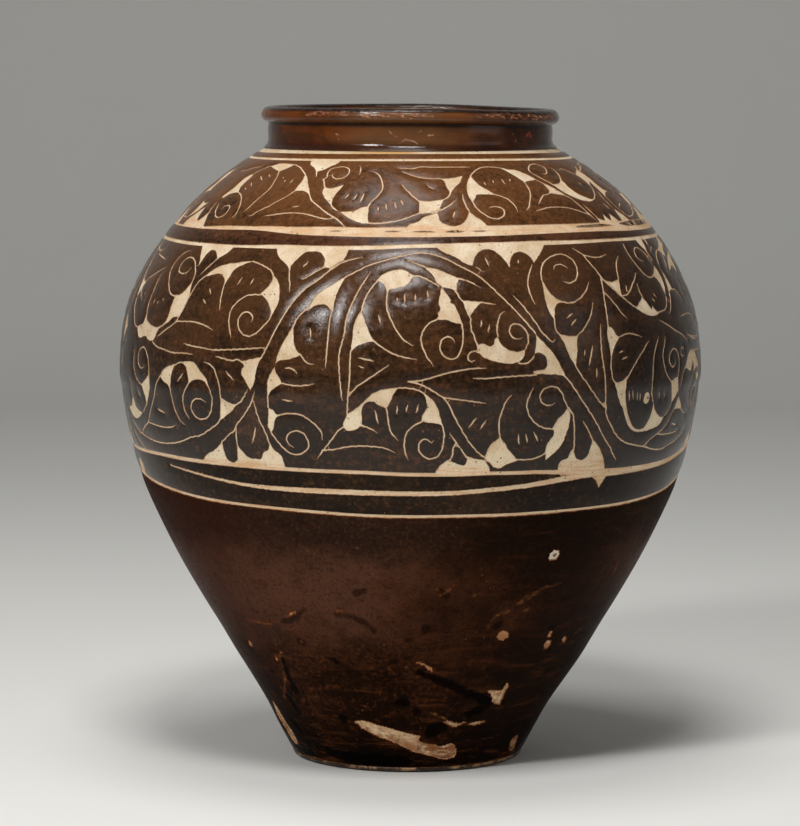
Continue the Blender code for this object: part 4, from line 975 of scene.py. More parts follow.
def turning_tree():
    """Geometry nodes that turn a profile round the jar's axis, as on a potter's wheel."""
    tree = bpy.data.node_groups.new("turn_on_the_wheel", "GeometryNodeTree")
    keys = {}
    for label, kind in (("Profile", "Geometry"), ("Stations", "Int"), ("Segments", "Int"),
                        ("Material", "Material")):
        socket = tree.interface.new_socket(label, in_out="INPUT", socket_type="NodeSocket" + kind)
        keys[label] = socket.identifier
    tree.interface.new_socket("Turned", in_out="OUTPUT", socket_type="NodeSocketGeometry")
    tools = Nodes(tree)
    given = tools.add("NodeGroupInput").outputs
    stations, turns = given["Stations"], given["Segments"]
    grid = tools.add("GeometryNodeMeshGrid", (("Vertices X", tools.plus(turns, 1.0)),
                                              ("Vertices Y", stations)))
    index = tools.add("GeometryNodeInputIndex").outputs[0]
    column = tools.maths("FLOOR", tools.maths("DIVIDE", index, stations))
    place = tools.add("GeometryNodeInputPosition").outputs[0]
    sample = tools.add("GeometryNodeSampleIndex", data_type="FLOAT_VECTOR", domain="POINT")
    for socket, value in (("Geometry", given["Profile"]), ("Value", place),
                          ("Index", tools.maths("MODULO", index, stations))):
        tools.plug(sample.inputs[socket], value)
    angle = tools.times(tools.maths("DIVIDE", column, turns), 2 * math.pi)
    spin = tools.add("ShaderNodeVectorRotate", rotation_type="Z_AXIS")
    tools.plug(spin.inputs["Vector"], sample.outputs["Value"])
    tools.plug(spin.inputs["Angle"], angle)
    made = grid.outputs["Mesh"]
    for kind, plugs in (("SetPosition", (("Position", spin.outputs[0]),)),
                        ("MergeByDistance", (("Distance", 0.000004),)), ("SetShadeSmooth", ()),
                        ("RealizeInstances", ()), ("SetMaterial", (("Material", given["Material"]),))):
        made = tools.add("GeometryNode" + kind, ((0, made), *plugs)).outputs[0]
    tools.plug(tools.add("NodeGroupOutput").inputs[0], made)
    return tree, keys


def turned_piece(name, profile, segments, surface):
    """Turn a closed profile of (radius, height) points into one finished solid."""
    loop = list(profile) + [profile[0]]
    base = bpy.data.meshes.new(name + "_profile")
    base.from_pydata([(radius, 0.0, height) for radius, height in loop], [], [])
    carrier = bpy.data.objects.new(name + "_carrier", base)
    bpy.context.scene.collection.objects.link(carrier)
    tree, keys = turning_tree()
    wheel = carrier.modifiers.new("wheel", "NODES")
    wheel.node_group = tree
    wheel[keys["Stations"]] = len(loop)
    wheel[keys["Segments"]] = segments
    wheel[keys["Material"]] = surface
    bpy.context.view_layer.update()
    depsgraph = bpy.context.evaluated_depsgraph_get()
    mesh = bpy.data.meshes.new_from_object(carrier.evaluated_get(depsgraph))
    carrier.modifiers.remove(wheel)
    bpy.data.objects.remove(carrier)
    mesh.name = name
    shape = bmesh.new()
    shape.from_mesh(mesh)
    bmesh.ops.dissolve_degenerate(shape, dist=1e-6, edges=shape.edges)
    bmesh.ops.recalc_face_normals(shape, faces=shape.faces)
    shape.to_mesh(mesh)
    shape.free()
    piece = bpy.data.objects.new(name, mesh)
    bpy.context.scene.collection.objects.link(piece)
    mesh.set_sharp_from_angle(angle=SHARP_ANGLE)
    return piece


def srgb(red, green, blue):
    """A colour given as 0-255 screen values, as linear light."""
    values = []
    for part in (red, green, blue):
        part = part / 255
        values.append(part / 12.92 if part <= 0.04045 else ((part + 0.055) / 1.055) ** 2.4)
    return (*values, 1.0)


class Nodes:
    """Short ways to add nodes to one tree."""

    def __init__(self, tree):
        self.tree = tree

    def plug(self, socket, value):
        """Link a socket to another, or set its value."""
        if isinstance(value, bpy.types.NodeSocket):
            self.tree.links.new(value, socket)
        else:
            socket.default_value = value

    def add(self, kind, plugs=(), **settings):
        """A new node with its settings, and what goes into its inputs."""
        made = self.tree.nodes.new(kind)
        for name, value in settings.items():
            setattr(made, name, value)
        for socket, value in plugs:
            self.plug(made.inputs[socket], value)
        return made

    def maths(self, operation, *values):
        """A Math node's result."""
        return self.add("ShaderNodeMath", enumerate(values), operation=operation).outputs[0]

    def times(self, first, second):
        """Two numbers multiplied."""
        return self.maths("MULTIPLY", first, second)

    def plus(self, first, second):
        """Two numbers added."""
        return self.maths("ADD", first, second)

    def less(self, first, second):
        """One number taken from another."""
        return self.maths("SUBTRACT", first, second)

    def mix(self, share, first, second):
        """One colour turning into another."""
        plugs = ((0, share), (6, first), (7, second))
        return self.add("ShaderNodeMix", plugs, data_type="RGBA").outputs[2]

    def layer(self, colour, mask, tone, share):
        """A colour with another laid over it where a mask says, up to a share."""
        return self.mix(self.times(mask, share), colour, tone)

    def blend(self, share, first, second):
        """One number turning into another."""
        plugs = ((0, share), (2, first), (3, second))
        return self.add("ShaderNodeMix", plugs, data_type="FLOAT").outputs[0]

    def ramp(self, value, low, high, out_low=0.0, out_high=1.0):
        """A number carried from one range to another, kept within it, with soft ends."""
        plugs = enumerate((value, low, high, out_low, out_high))
        return self.add("ShaderNodeMapRange", plugs, interpolation_type="SMOOTHSTEP").outputs[0]

    def noise(self, place, scale, detail=3.0, rough=0.55, warp=0.0):
        """Noise from 0 to 1."""
        plugs = (("Vector", place), ("Scale", scale), ("Detail", detail), ("Roughness", rough),
                 ("Distortion", warp))
        return self.add("ShaderNodeTexNoise", plugs).outputs["Fac"]

    def cells(self, place, scale):
        """Distance to the nearest of many scattered points."""
        return self.add("ShaderNodeTexVoronoi", (("Vector", place), ("Scale", scale))).outputs["Distance"]

    def stretched(self, place, scale):
        """Coordinates stretched by three factors."""
        return self.add("ShaderNodeMapping", (("Vector", place), ("Scale", scale))).outputs[0]

    def place(self):
        """Object coordinates."""
        return self.add("ShaderNodeTexCoord").outputs["Object"]

    def height(self, place):
        """The height of a place."""
        return self.add("ShaderNodeSeparateXYZ", ((0, place),)).outputs[2]

    def across(self, place):
        """How far to the right a place lies."""
        return self.add("ShaderNodeSeparateXYZ", ((0, place),)).outputs[0]

    def attribute(self, name):
        """A named number of the mesh."""
        return self.add("ShaderNodeAttribute", attribute_name=name).outputs["Fac"]

    def bump(self, height, strength, distance):
        """A normal from a height."""
        plugs = (("Strength", strength), ("Distance", distance), ("Height", height))
        return self.add("ShaderNodeBump", plugs).outputs[0]


def shader_group(name, inputs, outputs):
    """An empty shader node group with named sockets: its tools, its input sockets and its output node."""
    tree = bpy.data.node_groups.new(name, "ShaderNodeTree")
    for label, kind, value in inputs:
        socket = tree.interface.new_socket(label, in_out="INPUT", socket_type=kind)
        if value is not None:
            socket.default_value = value
    for label, kind in outputs:
        tree.interface.new_socket(label, in_out="OUTPUT", socket_type=kind)
    tools = Nodes(tree)
    return tree, tools, tools.add("NodeGroupInput").outputs, tools.add("NodeGroupOutput").inputs


def use_group(tools, tree, **values):
    """Place a shader group in a material with its own values."""
    return tools.add("ShaderNodeGroup", values.items(), node_tree=tree).outputs


FLOAT = "NodeSocketFloat"
COLOUR = "NodeSocketColor"
VECTOR = "NodeSocketVector"


def fired_glaze_group():
    """Iron glaze as fired: cloudy browns drawn out by the wheel, rusty and dark mottles, a grainy skin."""
    inputs = (
        ("Place", VECTOR, None), ("Deep", COLOUR, srgb(34, 22, 18)), ("Body", COLOUR, srgb(58, 38, 28)),
        ("Rust", COLOUR, srgb(96, 58, 34)), ("Warmth", FLOAT, 0.5), ("Cloud", FLOAT, 22.0),
        ("Mottle", FLOAT, 0.3),
    )
    outputs = (("Colour", COLOUR), ("Roughness", FLOAT), ("Height", FLOAT))
    tree, tools, given, made = shader_group("fired_glaze", inputs, outputs)
    place, warmth, mottle = given["Place"], given["Warmth"], given["Mottle"]
    broad = tools.noise(place, given["Cloud"], 4.0, 0.6, 0.4)
    drawn = tools.noise(tools.stretched(place, (1.0, 1.0, 6.0)), 26.0, 4.0, 0.62)
    fine = tools.noise(place, 380.0, 3.0, 0.62)
    grain = tools.noise(place, 1300.0, 2.0, 0.6)
    share = tools.plus(tools.times(broad, 0.62), tools.times(drawn, 0.38))
    share = tools.plus(share, tools.ramp(warmth, 0.0, 1.0, -0.13, 0.13))
    share = tools.plus(share, tools.times(tools.less(fine, 0.5), 0.34))
    colour = tools.mix(tools.ramp(share, 0.36, 0.64), given["Deep"], given["Body"])
    rusty = tools.times(tools.ramp(fine, 0.52, 0.74), tools.ramp(drawn, 0.42, 0.66, 0.15, 1.0))
    rusty = tools.times(rusty, tools.ramp(warmth, 0.0, 1.0, 0.35, 1.0))
    colour = tools.mix(rusty, colour, given["Rust"])
    patches = tools.noise(place, 190.0, 5.0, 0.72)
    colour = tools.layer(colour, tools.ramp(patches, 0.52, 0.68), given["Rust"], mottle)
    colour = tools.layer(colour, tools.ramp(patches, 0.34, 0.47, 1.0, 0.0), srgb(16, 10, 6), mottle)
    colour = tools.layer(colour, tools.ramp(grain, 0.32, 0.48, 1.0, 0.0), srgb(16, 10, 6), 0.60)
    specks = tools.ramp(tools.cells(place, 240.0), 0.09, 0.15, 0.60, 0.0)
    rare = tools.ramp(tools.noise(place, 55.0, 2.0), 0.55, 0.64)
    colour = tools.layer(colour, specks, srgb(150, 108, 70), rare)
    tools.plug(made["Colour"], colour)
    rough = tools.blend(broad, 0.26, 0.16)
    tools.plug(made["Roughness"], tools.plus(rough, tools.ramp(fine, 0.3, 0.7, -0.05, 0.10)))
    skin = tools.plus(tools.times(fine, 0.5), tools.times(grain, 0.6))
    tools.plug(made["Height"], tools.plus(skin, tools.times(tools.noise(place, 110.0, 2.0), 0.3)))
    return tree


def ragged_mark_group():
    """A mask that is 1 inside a mark and ends raggedly, from the distance in mm to the mark's edge."""
    inputs = (
        ("Place", VECTOR, None), ("Away", FLOAT, 5.0), ("Ragged", FLOAT, 1.0), ("Soft", FLOAT, 0.5),
        ("Grain", FLOAT, 260.0),
    )
    tree, tools, given, made = shader_group("ragged_mark", inputs, (("Inside", FLOAT),))
    noise = tools.noise(given["Place"], given["Grain"], 4.0, 0.65)
    away = tools.plus(given["Away"], tools.times(tools.less(noise, 0.5), given["Ragged"]))
    low, high = tools.times(given["Soft"], -0.5), tools.times(given["Soft"], 0.5)
    tools.plug(made["Inside"], tools.ramp(away, low, high, 1.0, 0.0))
    return tree


def new_material(name):
    """A material with one Principled shader: the material, its tools and the shader."""
    made = bpy.data.materials.new(name)
    made.use_nodes = True
    return made, Nodes(made.node_tree), made.node_tree.nodes["Principled BSDF"]


def finish_shader(tools, shader, colour, rough, specular, normal):
    """Plug a material's layers into its shader."""
    tools.plug(shader.inputs["Base Color"], colour)
    tools.plug(shader.inputs["Roughness"], rough)
    shader.inputs["Specular IOR Level"].default_value = specular
    tools.plug(shader.inputs["Normal"], normal)


def ragged(tools, place, away, rag, soft, grain=260.0):
    """The ragged mask of a mark, from distances or from the piece's own distances by name."""
    group = bpy.data.node_groups.get("ragged_mark") or ragged_mark_group()
    away = tools.attribute(away) if isinstance(away, str) else away
    return use_group(tools, group, Place=place, Away=away, Ragged=rag, Soft=soft, Grain=grain)["Inside"]


def glaze_base(name, tones, warmth, cloud, mottle=(0.0, 1.0, 0.2, 0.2)):
    """A new glaze material and its first colour, with the nodes that later layers build on."""
    made, tools, shader = new_material(name)
    place = tools.place()
    height = tools.height(place)
    group = bpy.data.node_groups.get("fired_glaze") or fired_glaze_group()
    skin = use_group(tools, group, Place=place, Deep=tones[0], Body=tones[1], Rust=tones[2], Cloud=cloud,
                     Warmth=tools.ramp(height, *warmth), Mottle=tools.ramp(height, *mottle))
    return made, tools, shader, place, skin


def band_material(name, tones, warmth, mottle, specular):
    """Dark glaze for the carved bands, thin and amber along a cut and scraped bare at its very edge, with
    painted shade down the jar's right side.
    """
    made, tools, shader, place, skin = glaze_base(name, tones, warmth, 20.0, mottle)
    near = tools.less(tools.attribute("edge"), 0.14)
    # Painted shade: the glaze is darkened towards the jar's right side, away from the lamps.
    right_side_painted_shade = tools.ramp(tools.across(place), 0.060, 0.150)
    colour = tools.layer(skin["Colour"], right_side_painted_shade, srgb(20, 12, 8), 0.50)
    colour = tools.layer(colour, ragged(tools, place, near, 0.8, 0.7, 200.0), srgb(112, 66, 34), 0.60)
    colour = tools.mix(ragged(tools, place, "edge", 0.65, 0.5, 320.0), colour, srgb(220, 182, 144))
    finish_shader(tools, shader, colour, tools.less(skin["Roughness"], 0.05), specular,
                  tools.bump(skin["Height"], 0.38, 0.0004))
    return made


def lower_material():
    """The plain lower glaze: matt and black under the last cut, red-brown lower down, worn at the foot, with
    painted shade on its right side and along its left edge.
    """
    tones = (srgb(28, 14, 6), srgb(66, 36, 20), srgb(92, 48, 24))
    made, tools, shader, place, skin = glaze_base("lower_iron_glaze", tones, (0.02, 0.13, 0.15, 0.8), 13.0,
                                                  (0.02, 0.14, 0.55, 0.30))
    height, sideways = tools.height(place), tools.across(place)
    wander = tools.less(tools.noise(place, 34.0, 5.0, 0.68), 0.5)
    broad = tools.less(tools.noise(place, 15.0, 4.0, 0.6), 0.5)
    blotch = tools.noise(place, 85.0, 5.0, 0.7)
    left = tools.ramp(tools.plus(sideways, tools.times(broad, 0.16)), -0.050, 0.060, 1.0, 0.0)
    warm = tools.times(left, tools.ramp(tools.plus(height, tools.times(wander, 0.04)), 0.070, 0.115))
    colour = tools.layer(skin["Colour"], warm, srgb(92, 60, 46), 0.66)
    lift = tools.plus(height, tools.times(wander, 0.045))
    upper = tools.ramp(lift, 0.128, 0.152)
    soot = tools.ramp(tools.noise(place, 430.0, 3.0, 0.65), 0.48, 0.72)
    colour = tools.layer(colour, upper, tools.mix(soot, srgb(24, 17, 12), srgb(58, 41, 28)), 0.75)
    # Painted shade: the right side is darkened, a little less at its very edge.
    right = tools.ramp(tools.plus(sideways, tools.times(broad, 0.20)), 0.000, 0.080)
    right = tools.times(right, tools.ramp(sideways, 0.095, 0.140, 1.0, 0.25))
    colour = tools.layer(colour, right, srgb(20, 12, 7), 0.78)
    colour = tools.layer(colour, tools.ramp(blotch, 0.50, 0.68), srgb(20, 11, 7), 0.34)
    grain = tools.ramp(tools.noise(place, 520.0, 3.0, 0.7), 0.30, 0.52, 1.0, 0.0)
    colour = tools.layer(colour, grain, srgb(24, 13, 8), 0.55)
    # Painted shade: the left edge is darkened and reddened.
    side = tools.ramp(tools.plus(sideways, tools.times(broad, 0.05)), -0.135, -0.070, 1.0, 0.0)
    colour = tools.layer(colour, side, srgb(46, 18, 7), 0.65)
    near_foot = tools.ramp(tools.plus(height, tools.times(wander, 0.05)), 0.004, 0.040, 1.0, 0.0)
    colour = tools.layer(colour, near_foot, srgb(11, 6, 3), 0.82)
    streaks = tools.noise(tools.stretched(place, (1.0, 1.0, 7.0)), 30.0, 5.0, 0.7)
    low = tools.ramp(height, 0.02, 0.12, 0.42, 0.12)
    colour = tools.layer(colour, tools.ramp(streaks, 0.52, 0.74), srgb(112, 62, 33), low)
    broken = tools.ramp(tools.noise(place, 300.0, 4.0, 0.7), 0.42, 0.60, 0.15, 1.0)
    grazed = tools.times(ragged(tools, place, "worn", 5.5, 1.8), broken)
    colour = tools.layer(colour, grazed, srgb(140, 88, 50), 0.62)
    halo = ragged(tools, place, tools.less(tools.attribute("glow"), 0.6), 3.4, 2.0, 230.0)
    colour = tools.layer(colour, halo, srgb(108, 52, 24), 0.40)
    sparks = tools.ramp(tools.noise(place, 420.0, 3.0, 0.6), 0.4, 0.6)
    glow = ragged(tools, place, tools.plus(tools.attribute("glow"), 0.4), 5.0, 1.0, 430.0)
    colour = tools.layer(colour, glow, tools.mix(sparks, srgb(150, 78, 38), srgb(214, 146, 92)), 0.70)
    black = ragged(tools, place, tools.less(tools.attribute("black"), 1.0), 7.0, 2.6, 150.0)
    black = tools.times(black, tools.ramp(height, 0.074, 0.084, 0.90, 0.62))
    colour = tools.mix(black, colour, srgb(5, 3, 2))
    beside = ragged(tools, place, tools.less(tools.attribute("edge"), 0.4), 2.4, 1.2, 220.0)
    colour = tools.layer(colour, beside, srgb(112, 58, 28), 0.60)
    colour = tools.mix(ragged(tools, place, "edge", 1.5, 0.6, 300.0), colour, srgb(200, 152, 108))
    rough = tools.plus(skin["Roughness"], tools.plus(tools.times(upper, 0.14), 0.14))
    rough = tools.less(rough, tools.times(tools.ramp(height, 0.006, 0.022, 1.0, 0.0), 0.16))
    relief = tools.plus(skin["Height"], tools.times(blotch, 1.4))
    relief = tools.less(relief, tools.plus(tools.times(grazed, 0.6), tools.times(black, 1.6)))
    finish_shader(tools, shader, colour, rough, 0.008, tools.bump(relief, 0.5, 0.0004))
    return made


POOL_RANGE = (0.3772, 0.3810)
CREASE_HEIGHT = 0.3904
LIP_RANGE = (0.3972, 0.3986)


def neck_material():
    """Amber glaze of the neck: glossy and clear brown, darker where it pools, chipped along the rim, with
    painted shade in the crease under the rim and down the right side.
    """
    tones = (srgb(40, 16, 3), srgb(88, 45, 11), srgb(112, 60, 16))
    made, tools, shader, place, skin = glaze_base("neck_amber_glaze", tones, (0.374, 0.384, 0.2, 0.7), 15.0,
                                                  (0.0, 1.0, 0.0, 0.0))
    sideways = tools.across(place)
    height = tools.plus(tools.height(place), tools.ramp(sideways, 0.0, NECK_RADIUS, 0.0, RIM_TILT))
    broad = tools.less(tools.noise(place, 30.0, 3.0, 0.6), 0.5)
    flow = tools.noise(tools.stretched(place, (1.0, 1.0, 2.5)), 34.0, 4.0, 0.6, 0.5)
    smooth = tools.mix(tools.ramp(flow, 0.36, 0.64), srgb(60, 28, 6), srgb(110, 54, 12))
    colour = tools.mix(0.72, skin["Colour"], smooth)
    sheen = tools.maths("ABSOLUTE", tools.plus(sideways, tools.times(broad, 0.04)))
    colour = tools.layer(colour, tools.ramp(sheen, 0.012, 0.055, 1.0, 0.0), srgb(112, 78, 48), 0.55)
    pooled = tools.ramp(height, *POOL_RANGE, 1.0, 0.0)
    colour = tools.layer(colour, pooled, srgb(40, 17, 9), 0.75)
    # Painted shade in the crease under the rolled rim.
    under = tools.ramp(tools.maths("ABSOLUTE", tools.less(height, CREASE_HEIGHT)), 0.0004, 0.0022, 1.0, 0.0)
    colour = tools.layer(colour, under, srgb(26, 11, 4), 0.75)
    lip = tools.ramp(tools.plus(height, tools.times(broad, 0.0012)), *LIP_RANGE)
    colour = tools.layer(colour, lip, srgb(18, 8, 5), 0.90)
    # Painted shade: the right side of the neck is darkened.
    right = tools.ramp(tools.plus(sideways, tools.times(broad, 0.09)), 0.025, 0.085)
    colour = tools.layer(colour, right, srgb(22, 10, 5), 0.60)
    rubbed = tools.ramp(tools.noise(tools.stretched(place, (1.0, 1.0, 3.0)), 260.0, 5.0, 0.75), 0.48, 0.60)
    worn = ragged(tools, place, tools.less(tools.attribute("worn"), 0.4), 4.2, 1.2, 300.0)
    worn = tools.times(worn, rubbed)
    tint = tools.ramp(tools.noise(place, 520.0, 3.0, 0.65), 0.40, 0.62)
    colour = tools.layer(colour, worn, tools.mix(tint, srgb(124, 58, 26), srgb(206, 146, 100)), 0.70)
    red = tools.mix(tint, srgb(120, 44, 20), srgb(182, 84, 46))
    colour = tools.layer(colour, ragged(tools, place, "blister", 1.2, 0.8, 300.0), red, 0.80)
    colour = tools.layer(colour, ragged(tools, place, "scratch", 0.9, 0.4, 500.0), srgb(186, 160, 138), 0.60)
    rough = tools.plus(tools.times(skin["Roughness"], 0.50), tools.times(worn, 0.3))
    ripples = tools.times(tools.noise(place, 44.0, 3.0, 0.6), 2.0)
    relief = tools.plus(tools.times(skin["Height"], 0.5), ripples)
    relief = tools.plus(relief, tools.times(tools.times(lip, tools.noise(place, 260.0, 3.0, 0.6)), 5.0))
    finish_shader(tools, shader, colour, rough, 0.34, tools.bump(tools.less(relief, worn), 0.45, 0.0004))
    return made


SHOULDER_RING_HEIGHT = 0.3295
STAIN_RANGE = (0.3728, 0.3738)
LOW_LINES_RANGE = (0.1960, 0.1985)


def slip_material():
    """White slip, bare where the glaze is cut away: warm cream with clouds, specks and ochre stains, and
    painted light that makes it paler low on the belly.
    """
    made, tools, shader = new_material("bare_white_slip")
    place = tools.place()
    height, sideways = tools.height(place), tools.across(place)
    cloud = tools.noise(place, 60.0, 5.0, 0.65, 0.5)
    colour = tools.mix(tools.ramp(cloud, 0.35, 0.68), srgb(204, 176, 140), srgb(226, 207, 178))
    # Painted light: the cream is made paler towards the foot of the belly band, where the surface turns down
    # from the lamps.
    colour = tools.layer(colour, tools.ramp(height, 0.192, 0.265, 1.0, 0.0), srgb(240, 222, 190), 0.60)
    stain = tools.noise(place, 22.0, 4.0, 0.65)
    colour = tools.layer(colour, tools.ramp(stain, 0.54, 0.74), srgb(198, 156, 106), 0.50)
    grit = tools.noise(place, 900.0, 3.0, 0.7)
    colour = tools.layer(colour, tools.ramp(grit, 0.30, 0.5, 1.0, 0.0), srgb(160, 124, 90), 0.45)
    for scale, size, amount in ((210.0, 0.13, 0.95), (430.0, 0.14, 0.7)):
        specks = tools.ramp(tools.cells(place, scale), 0.6 * size, size, amount, 0.0)
        some = tools.ramp(tools.noise(place, 45.0, 2.0), 0.38, 0.48)
        colour = tools.layer(colour, specks, srgb(66, 44, 30), some)
    drag = tools.noise(tools.stretched(place, (1.0, 1.0, 14.0)), 60.0, 3.0, 0.6)
    rings = tools.maths("ABSOLUTE", tools.less(height, SHOULDER_RING_HEIGHT))
    rings = tools.ramp(rings, 0.0030, 0.0060, 1.0, 0.0)
    lines = tools.maths("MAXIMUM", rings, tools.ramp(height, *LOW_LINES_RANGE, 1.0, 0.0))
    colour = tools.layer(colour, lines, srgb(206, 146, 92), tools.ramp(drag, 0.42, 0.66, 0.15, 0.60))
    front_left = tools.ramp(sideways, -0.050, -0.006)
    front_left = tools.times(front_left, tools.ramp(sideways, -0.004, 0.012, 1.0, 0.0))
    high = tools.ramp(height, *STAIN_RANGE, 0.0, 0.75)
    colour = tools.layer(colour, front_left, srgb(196, 140, 62), high)
    relief = tools.plus(grit, tools.noise(place, 200.0, 3.0, 0.6))
    finish_shader(tools, shader, colour, 0.60, 0.25, tools.bump(relief, 0.5, 0.0003))
    return made


def clay_material():
    """Fired stoneware clay: buff with brown and orange streaks where it shows in a chip, dark at the foot."""
    made, tools, shader = new_material("fired_stoneware_clay")
    place = tools.place()
    height, sideways = tools.height(place), tools.across(place)
    cloud = tools.noise(place, 75.0, 5.0, 0.65, 0.5)
    colour = tools.mix(tools.ramp(cloud, 0.36, 0.64), srgb(168, 116, 72), srgb(236, 206, 164))
    turned = tools.add("ShaderNodeMapping", (("Vector", place), ("Rotation", (0.0, 0.45, 0.0)),
                                             ("Scale", (1.0, 1.0, 4.5)))).outputs[0]
    streaks = tools.noise(turned, 95.0, 5.0, 0.7)
    side = tools.ramp(sideways, -0.004, 0.014, 0.35, 0.95)
    low = tools.times(tools.ramp(height, 0.023, 0.029, 1.0, 0.35), side)
    colour = tools.layer(colour, tools.ramp(streaks, 0.38, 0.54), srgb(138, 78, 38), low)
    broken = tools.noise(place, 210.0, 4.0, 0.7)
    colour = tools.layer(colour, tools.ramp(broken, 0.52, 0.68), srgb(82, 48, 26), 0.75)
    grit = tools.noise(place, 700.0, 3.0, 0.7)
    colour = tools.layer(colour, tools.ramp(grit, 0.3, 0.5, 1.0, 0.0), srgb(112, 72, 44), 0.55)
    colour = tools.layer(colour, tools.ramp(height, 0.058, 0.066), srgb(170, 112, 72),
                         tools.ramp(cloud, 0.38, 0.62, 1.0, 0.45))
    pit = tools.add("ShaderNodeVectorMath", ((0, place), (1, PIT_PLACE)), operation="DISTANCE")
    pit = pit.outputs["Value"]
    colour = tools.layer(colour, tools.ramp(pit, 0.004, 0.006, 1.0, 0.0), srgb(232, 220, 204), 0.85)
    ragged_edge = tools.times(tools.less(tools.noise(place, 150.0, 4.0, 0.65), 0.5), 0.0040)
    foot = tools.ramp(tools.plus(height, ragged_edge), 0.0036, 0.0044, 1.0, 0.0)
    colour = tools.layer(colour, foot, srgb(16, 10, 7), 0.92)
    bare = tools.ramp(tools.noise(place, 45.0, 5.0, 0.75), 0.50, 0.60)
    bare = tools.times(bare, tools.ramp(height, 0.0005, 0.002))
    colour = tools.layer(colour, bare, srgb(190, 146, 104), tools.ramp(height, 0.0030, 0.0045, 0.80, 0.0))
    finish_shader(tools, shader, colour, tools.ramp(foot, 0.0, 1.0, 0.80, 0.38), 0.25,
                  tools.bump(tools.plus(grit, tools.times(broken, 2.0)), 0.6, 0.0004))
    return made


def lining_material():
    """Dark brown lining glaze."""
    tones = (srgb(26, 15, 11), srgb(48, 29, 19), srgb(84, 52, 30))
    made, tools, shader, _, skin = glaze_base("lining_glaze", tones, (0.0, 0.4, 0.4, 0.6), 14.0)
    relief = tools.bump(skin["Height"], 0.4, 0.0004)
    finish_shader(tools, shader, skin["Colour"], skin["Roughness"], 0.3, relief)
    return made


SHARP_ANGLE = math.radians(38)
SEGMENTS = 256
FINE_SEGMENTS = 512
FEW_SEGMENTS = 128

# The coats' depths under the outline, in metres
GLAZE_DEPTH = 0.00095
SLIP_DEPTH = 0.00076
SLIP_THICKNESS = 0.0005
PUFF_REACH = 3.0
TICK_WIDTH = 1.15
CHIP_SHAKE = 0.60

# The unevenness of a thrown jar: how far, and over which heights
RIM_TILT = 0.0020
RIM_TILT_RANGE = (0.372, 0.390)
FOOT_DENT = 0.0037
FOOT_DENT_RANGE = (-0.065, -0.014)
SHOULDER_DENT = 0.0018
SHOULDER_DENT_LOW = (0.285, 0.330)
SHOULDER_DENT_HIGH = (-0.376, -0.350)

# Wear on the lower glaze. Chips are outlines of azimuth and height in mm; the rest are strokes of
# azimuth, height and half width in mm
LOWER_CHIPS = """
-69.3,37.2c -66.6,29.6 -65.6,24 -62.7,18.4 -62.6,12.4c -65.4,9.2 -69.2,12.8 -70.7,18.8 -73.1,27.2;
-22.2,32.9c -19.2,33.7 -12.5,31 -4.8,27.8 3.8,24.3c 3,20.9c 8.5,18.8 14,17.1 17.8,18.4 20.8,14.1 20.5,9.9
17.5,8.5 9,11.3 1,14.2c -7.2,20.5 -13,23.7 -18.8,28; 13.2,33.3c 15,33.8 17.8,32.3 20.5,31.8 22.5,32.6c
20.5,30.9 18,29.9c 15.8,31.4; 24.2,30.9c 26.8,31.7 29.2,31.8 32,31.8c 29.2,30.4 26.5,30; 27.6,52.8c
30.7,52.2 33.7,51.6c 34.6,56.8c 35.4,55.6 35.5,49.2 35.7,42.4c 32.7,43.6 30.1,48.8; 24.9,89.6 25.6,92
27.1,92 28.3,90 28.5,87.6 27.1,86.4 25.5,87.2; 43.8,78.8 43.8,81.6 45.4,82 46.2,80 45.9,77.6 44.7,77.2;
51.4,80.8c 51.6,82.8 53.4,80.8c 53.2,79.2; 43.3,85.2c 43.5,88.8c 44.2,88 44.5,84.8; 57.1,7.6c 54.9,14.8
56.5,16.8 59.4,16.4c 61.3,11.2 60.6,6.8; 2.2,74.1c 4,73.1 5.8,71 7,68.1c 5.5,69.4 3.8,72; -57.9,78c -57,78.8
-57.3,75.6 -58.5,74.8; 33.1,140.6 33.5,142.1 34.6,142.4 35.4,141.4 35.6,139.1 35.1,137 34,136.4 33,137.6
"""
LOWER_ISLANDS = "34.2,140.2 34.8,140.1 34.9,138.9 34.3,138.3 33.9,139.1"
BLACK_MARKS = """
-25.2,74.6,0.9 -23.4,73.2,1;
2.8,67.2,1.3 5.2,65.2,1.6 7.9,62.8,1.5 11.1,60.8,2.1 14.2,57.6,2.3 17.7,54.8,2.0 21.1,51.6,2.1 25.6,48.4,2.4
29.7,44.4,2.5 27.1,40.8,2.2 23.1,38,2.1; -43.4,71.6,0.9 -44.1,66,1.3 -44.4,60.8,1.5 -44.6,56,1.7 -44.6,50,1.8;
-50.7,44,1.3 -50.3,39.6,1.7 -49.2,34.4,1.4; -57.5,28,1.1 -54.3,25.6,1.3 -52.7,21.2,0.9; -3.3,47.2,2.7
-1.7,46.4,2.4; 2.4,41.2,2.1 2.5,41,2.1; 8.7,28,3.6 12.3,30,3.6; -26.9,34,2.2 -26.7,34.3,2.2; 23.5,96,2.1
24.7,98.4,1.8; 7.3,120,1.3 9,116.8,1.3; 4,96.4,1.6 4.3,96.4,1.6; -0.3,88.4,1 0,88.4,1; 42.6,91.6,2
42.9,91.4,2; -39.2,10.4,2.4 -28.7,8.4,3.3 -18.6,8.4,3.6 -8.4,7.6,3.6 -2.4,7.6,3; -63.6,7.6,1.8
-52.5,7.6,1.8; -33.2,84.6,1.7 -32.6,84.4,1.7; -12.8,119.2,1.8 -11,120.4,1.4; -36,97,0.5 -31,101,0.7
-28,106,0.6; -19.5,104.5,0.7 -15.6,103.5,0.9 -13.1,101.4,0.9 -11.3,98,1.1 -9.8,95,0.9
"""
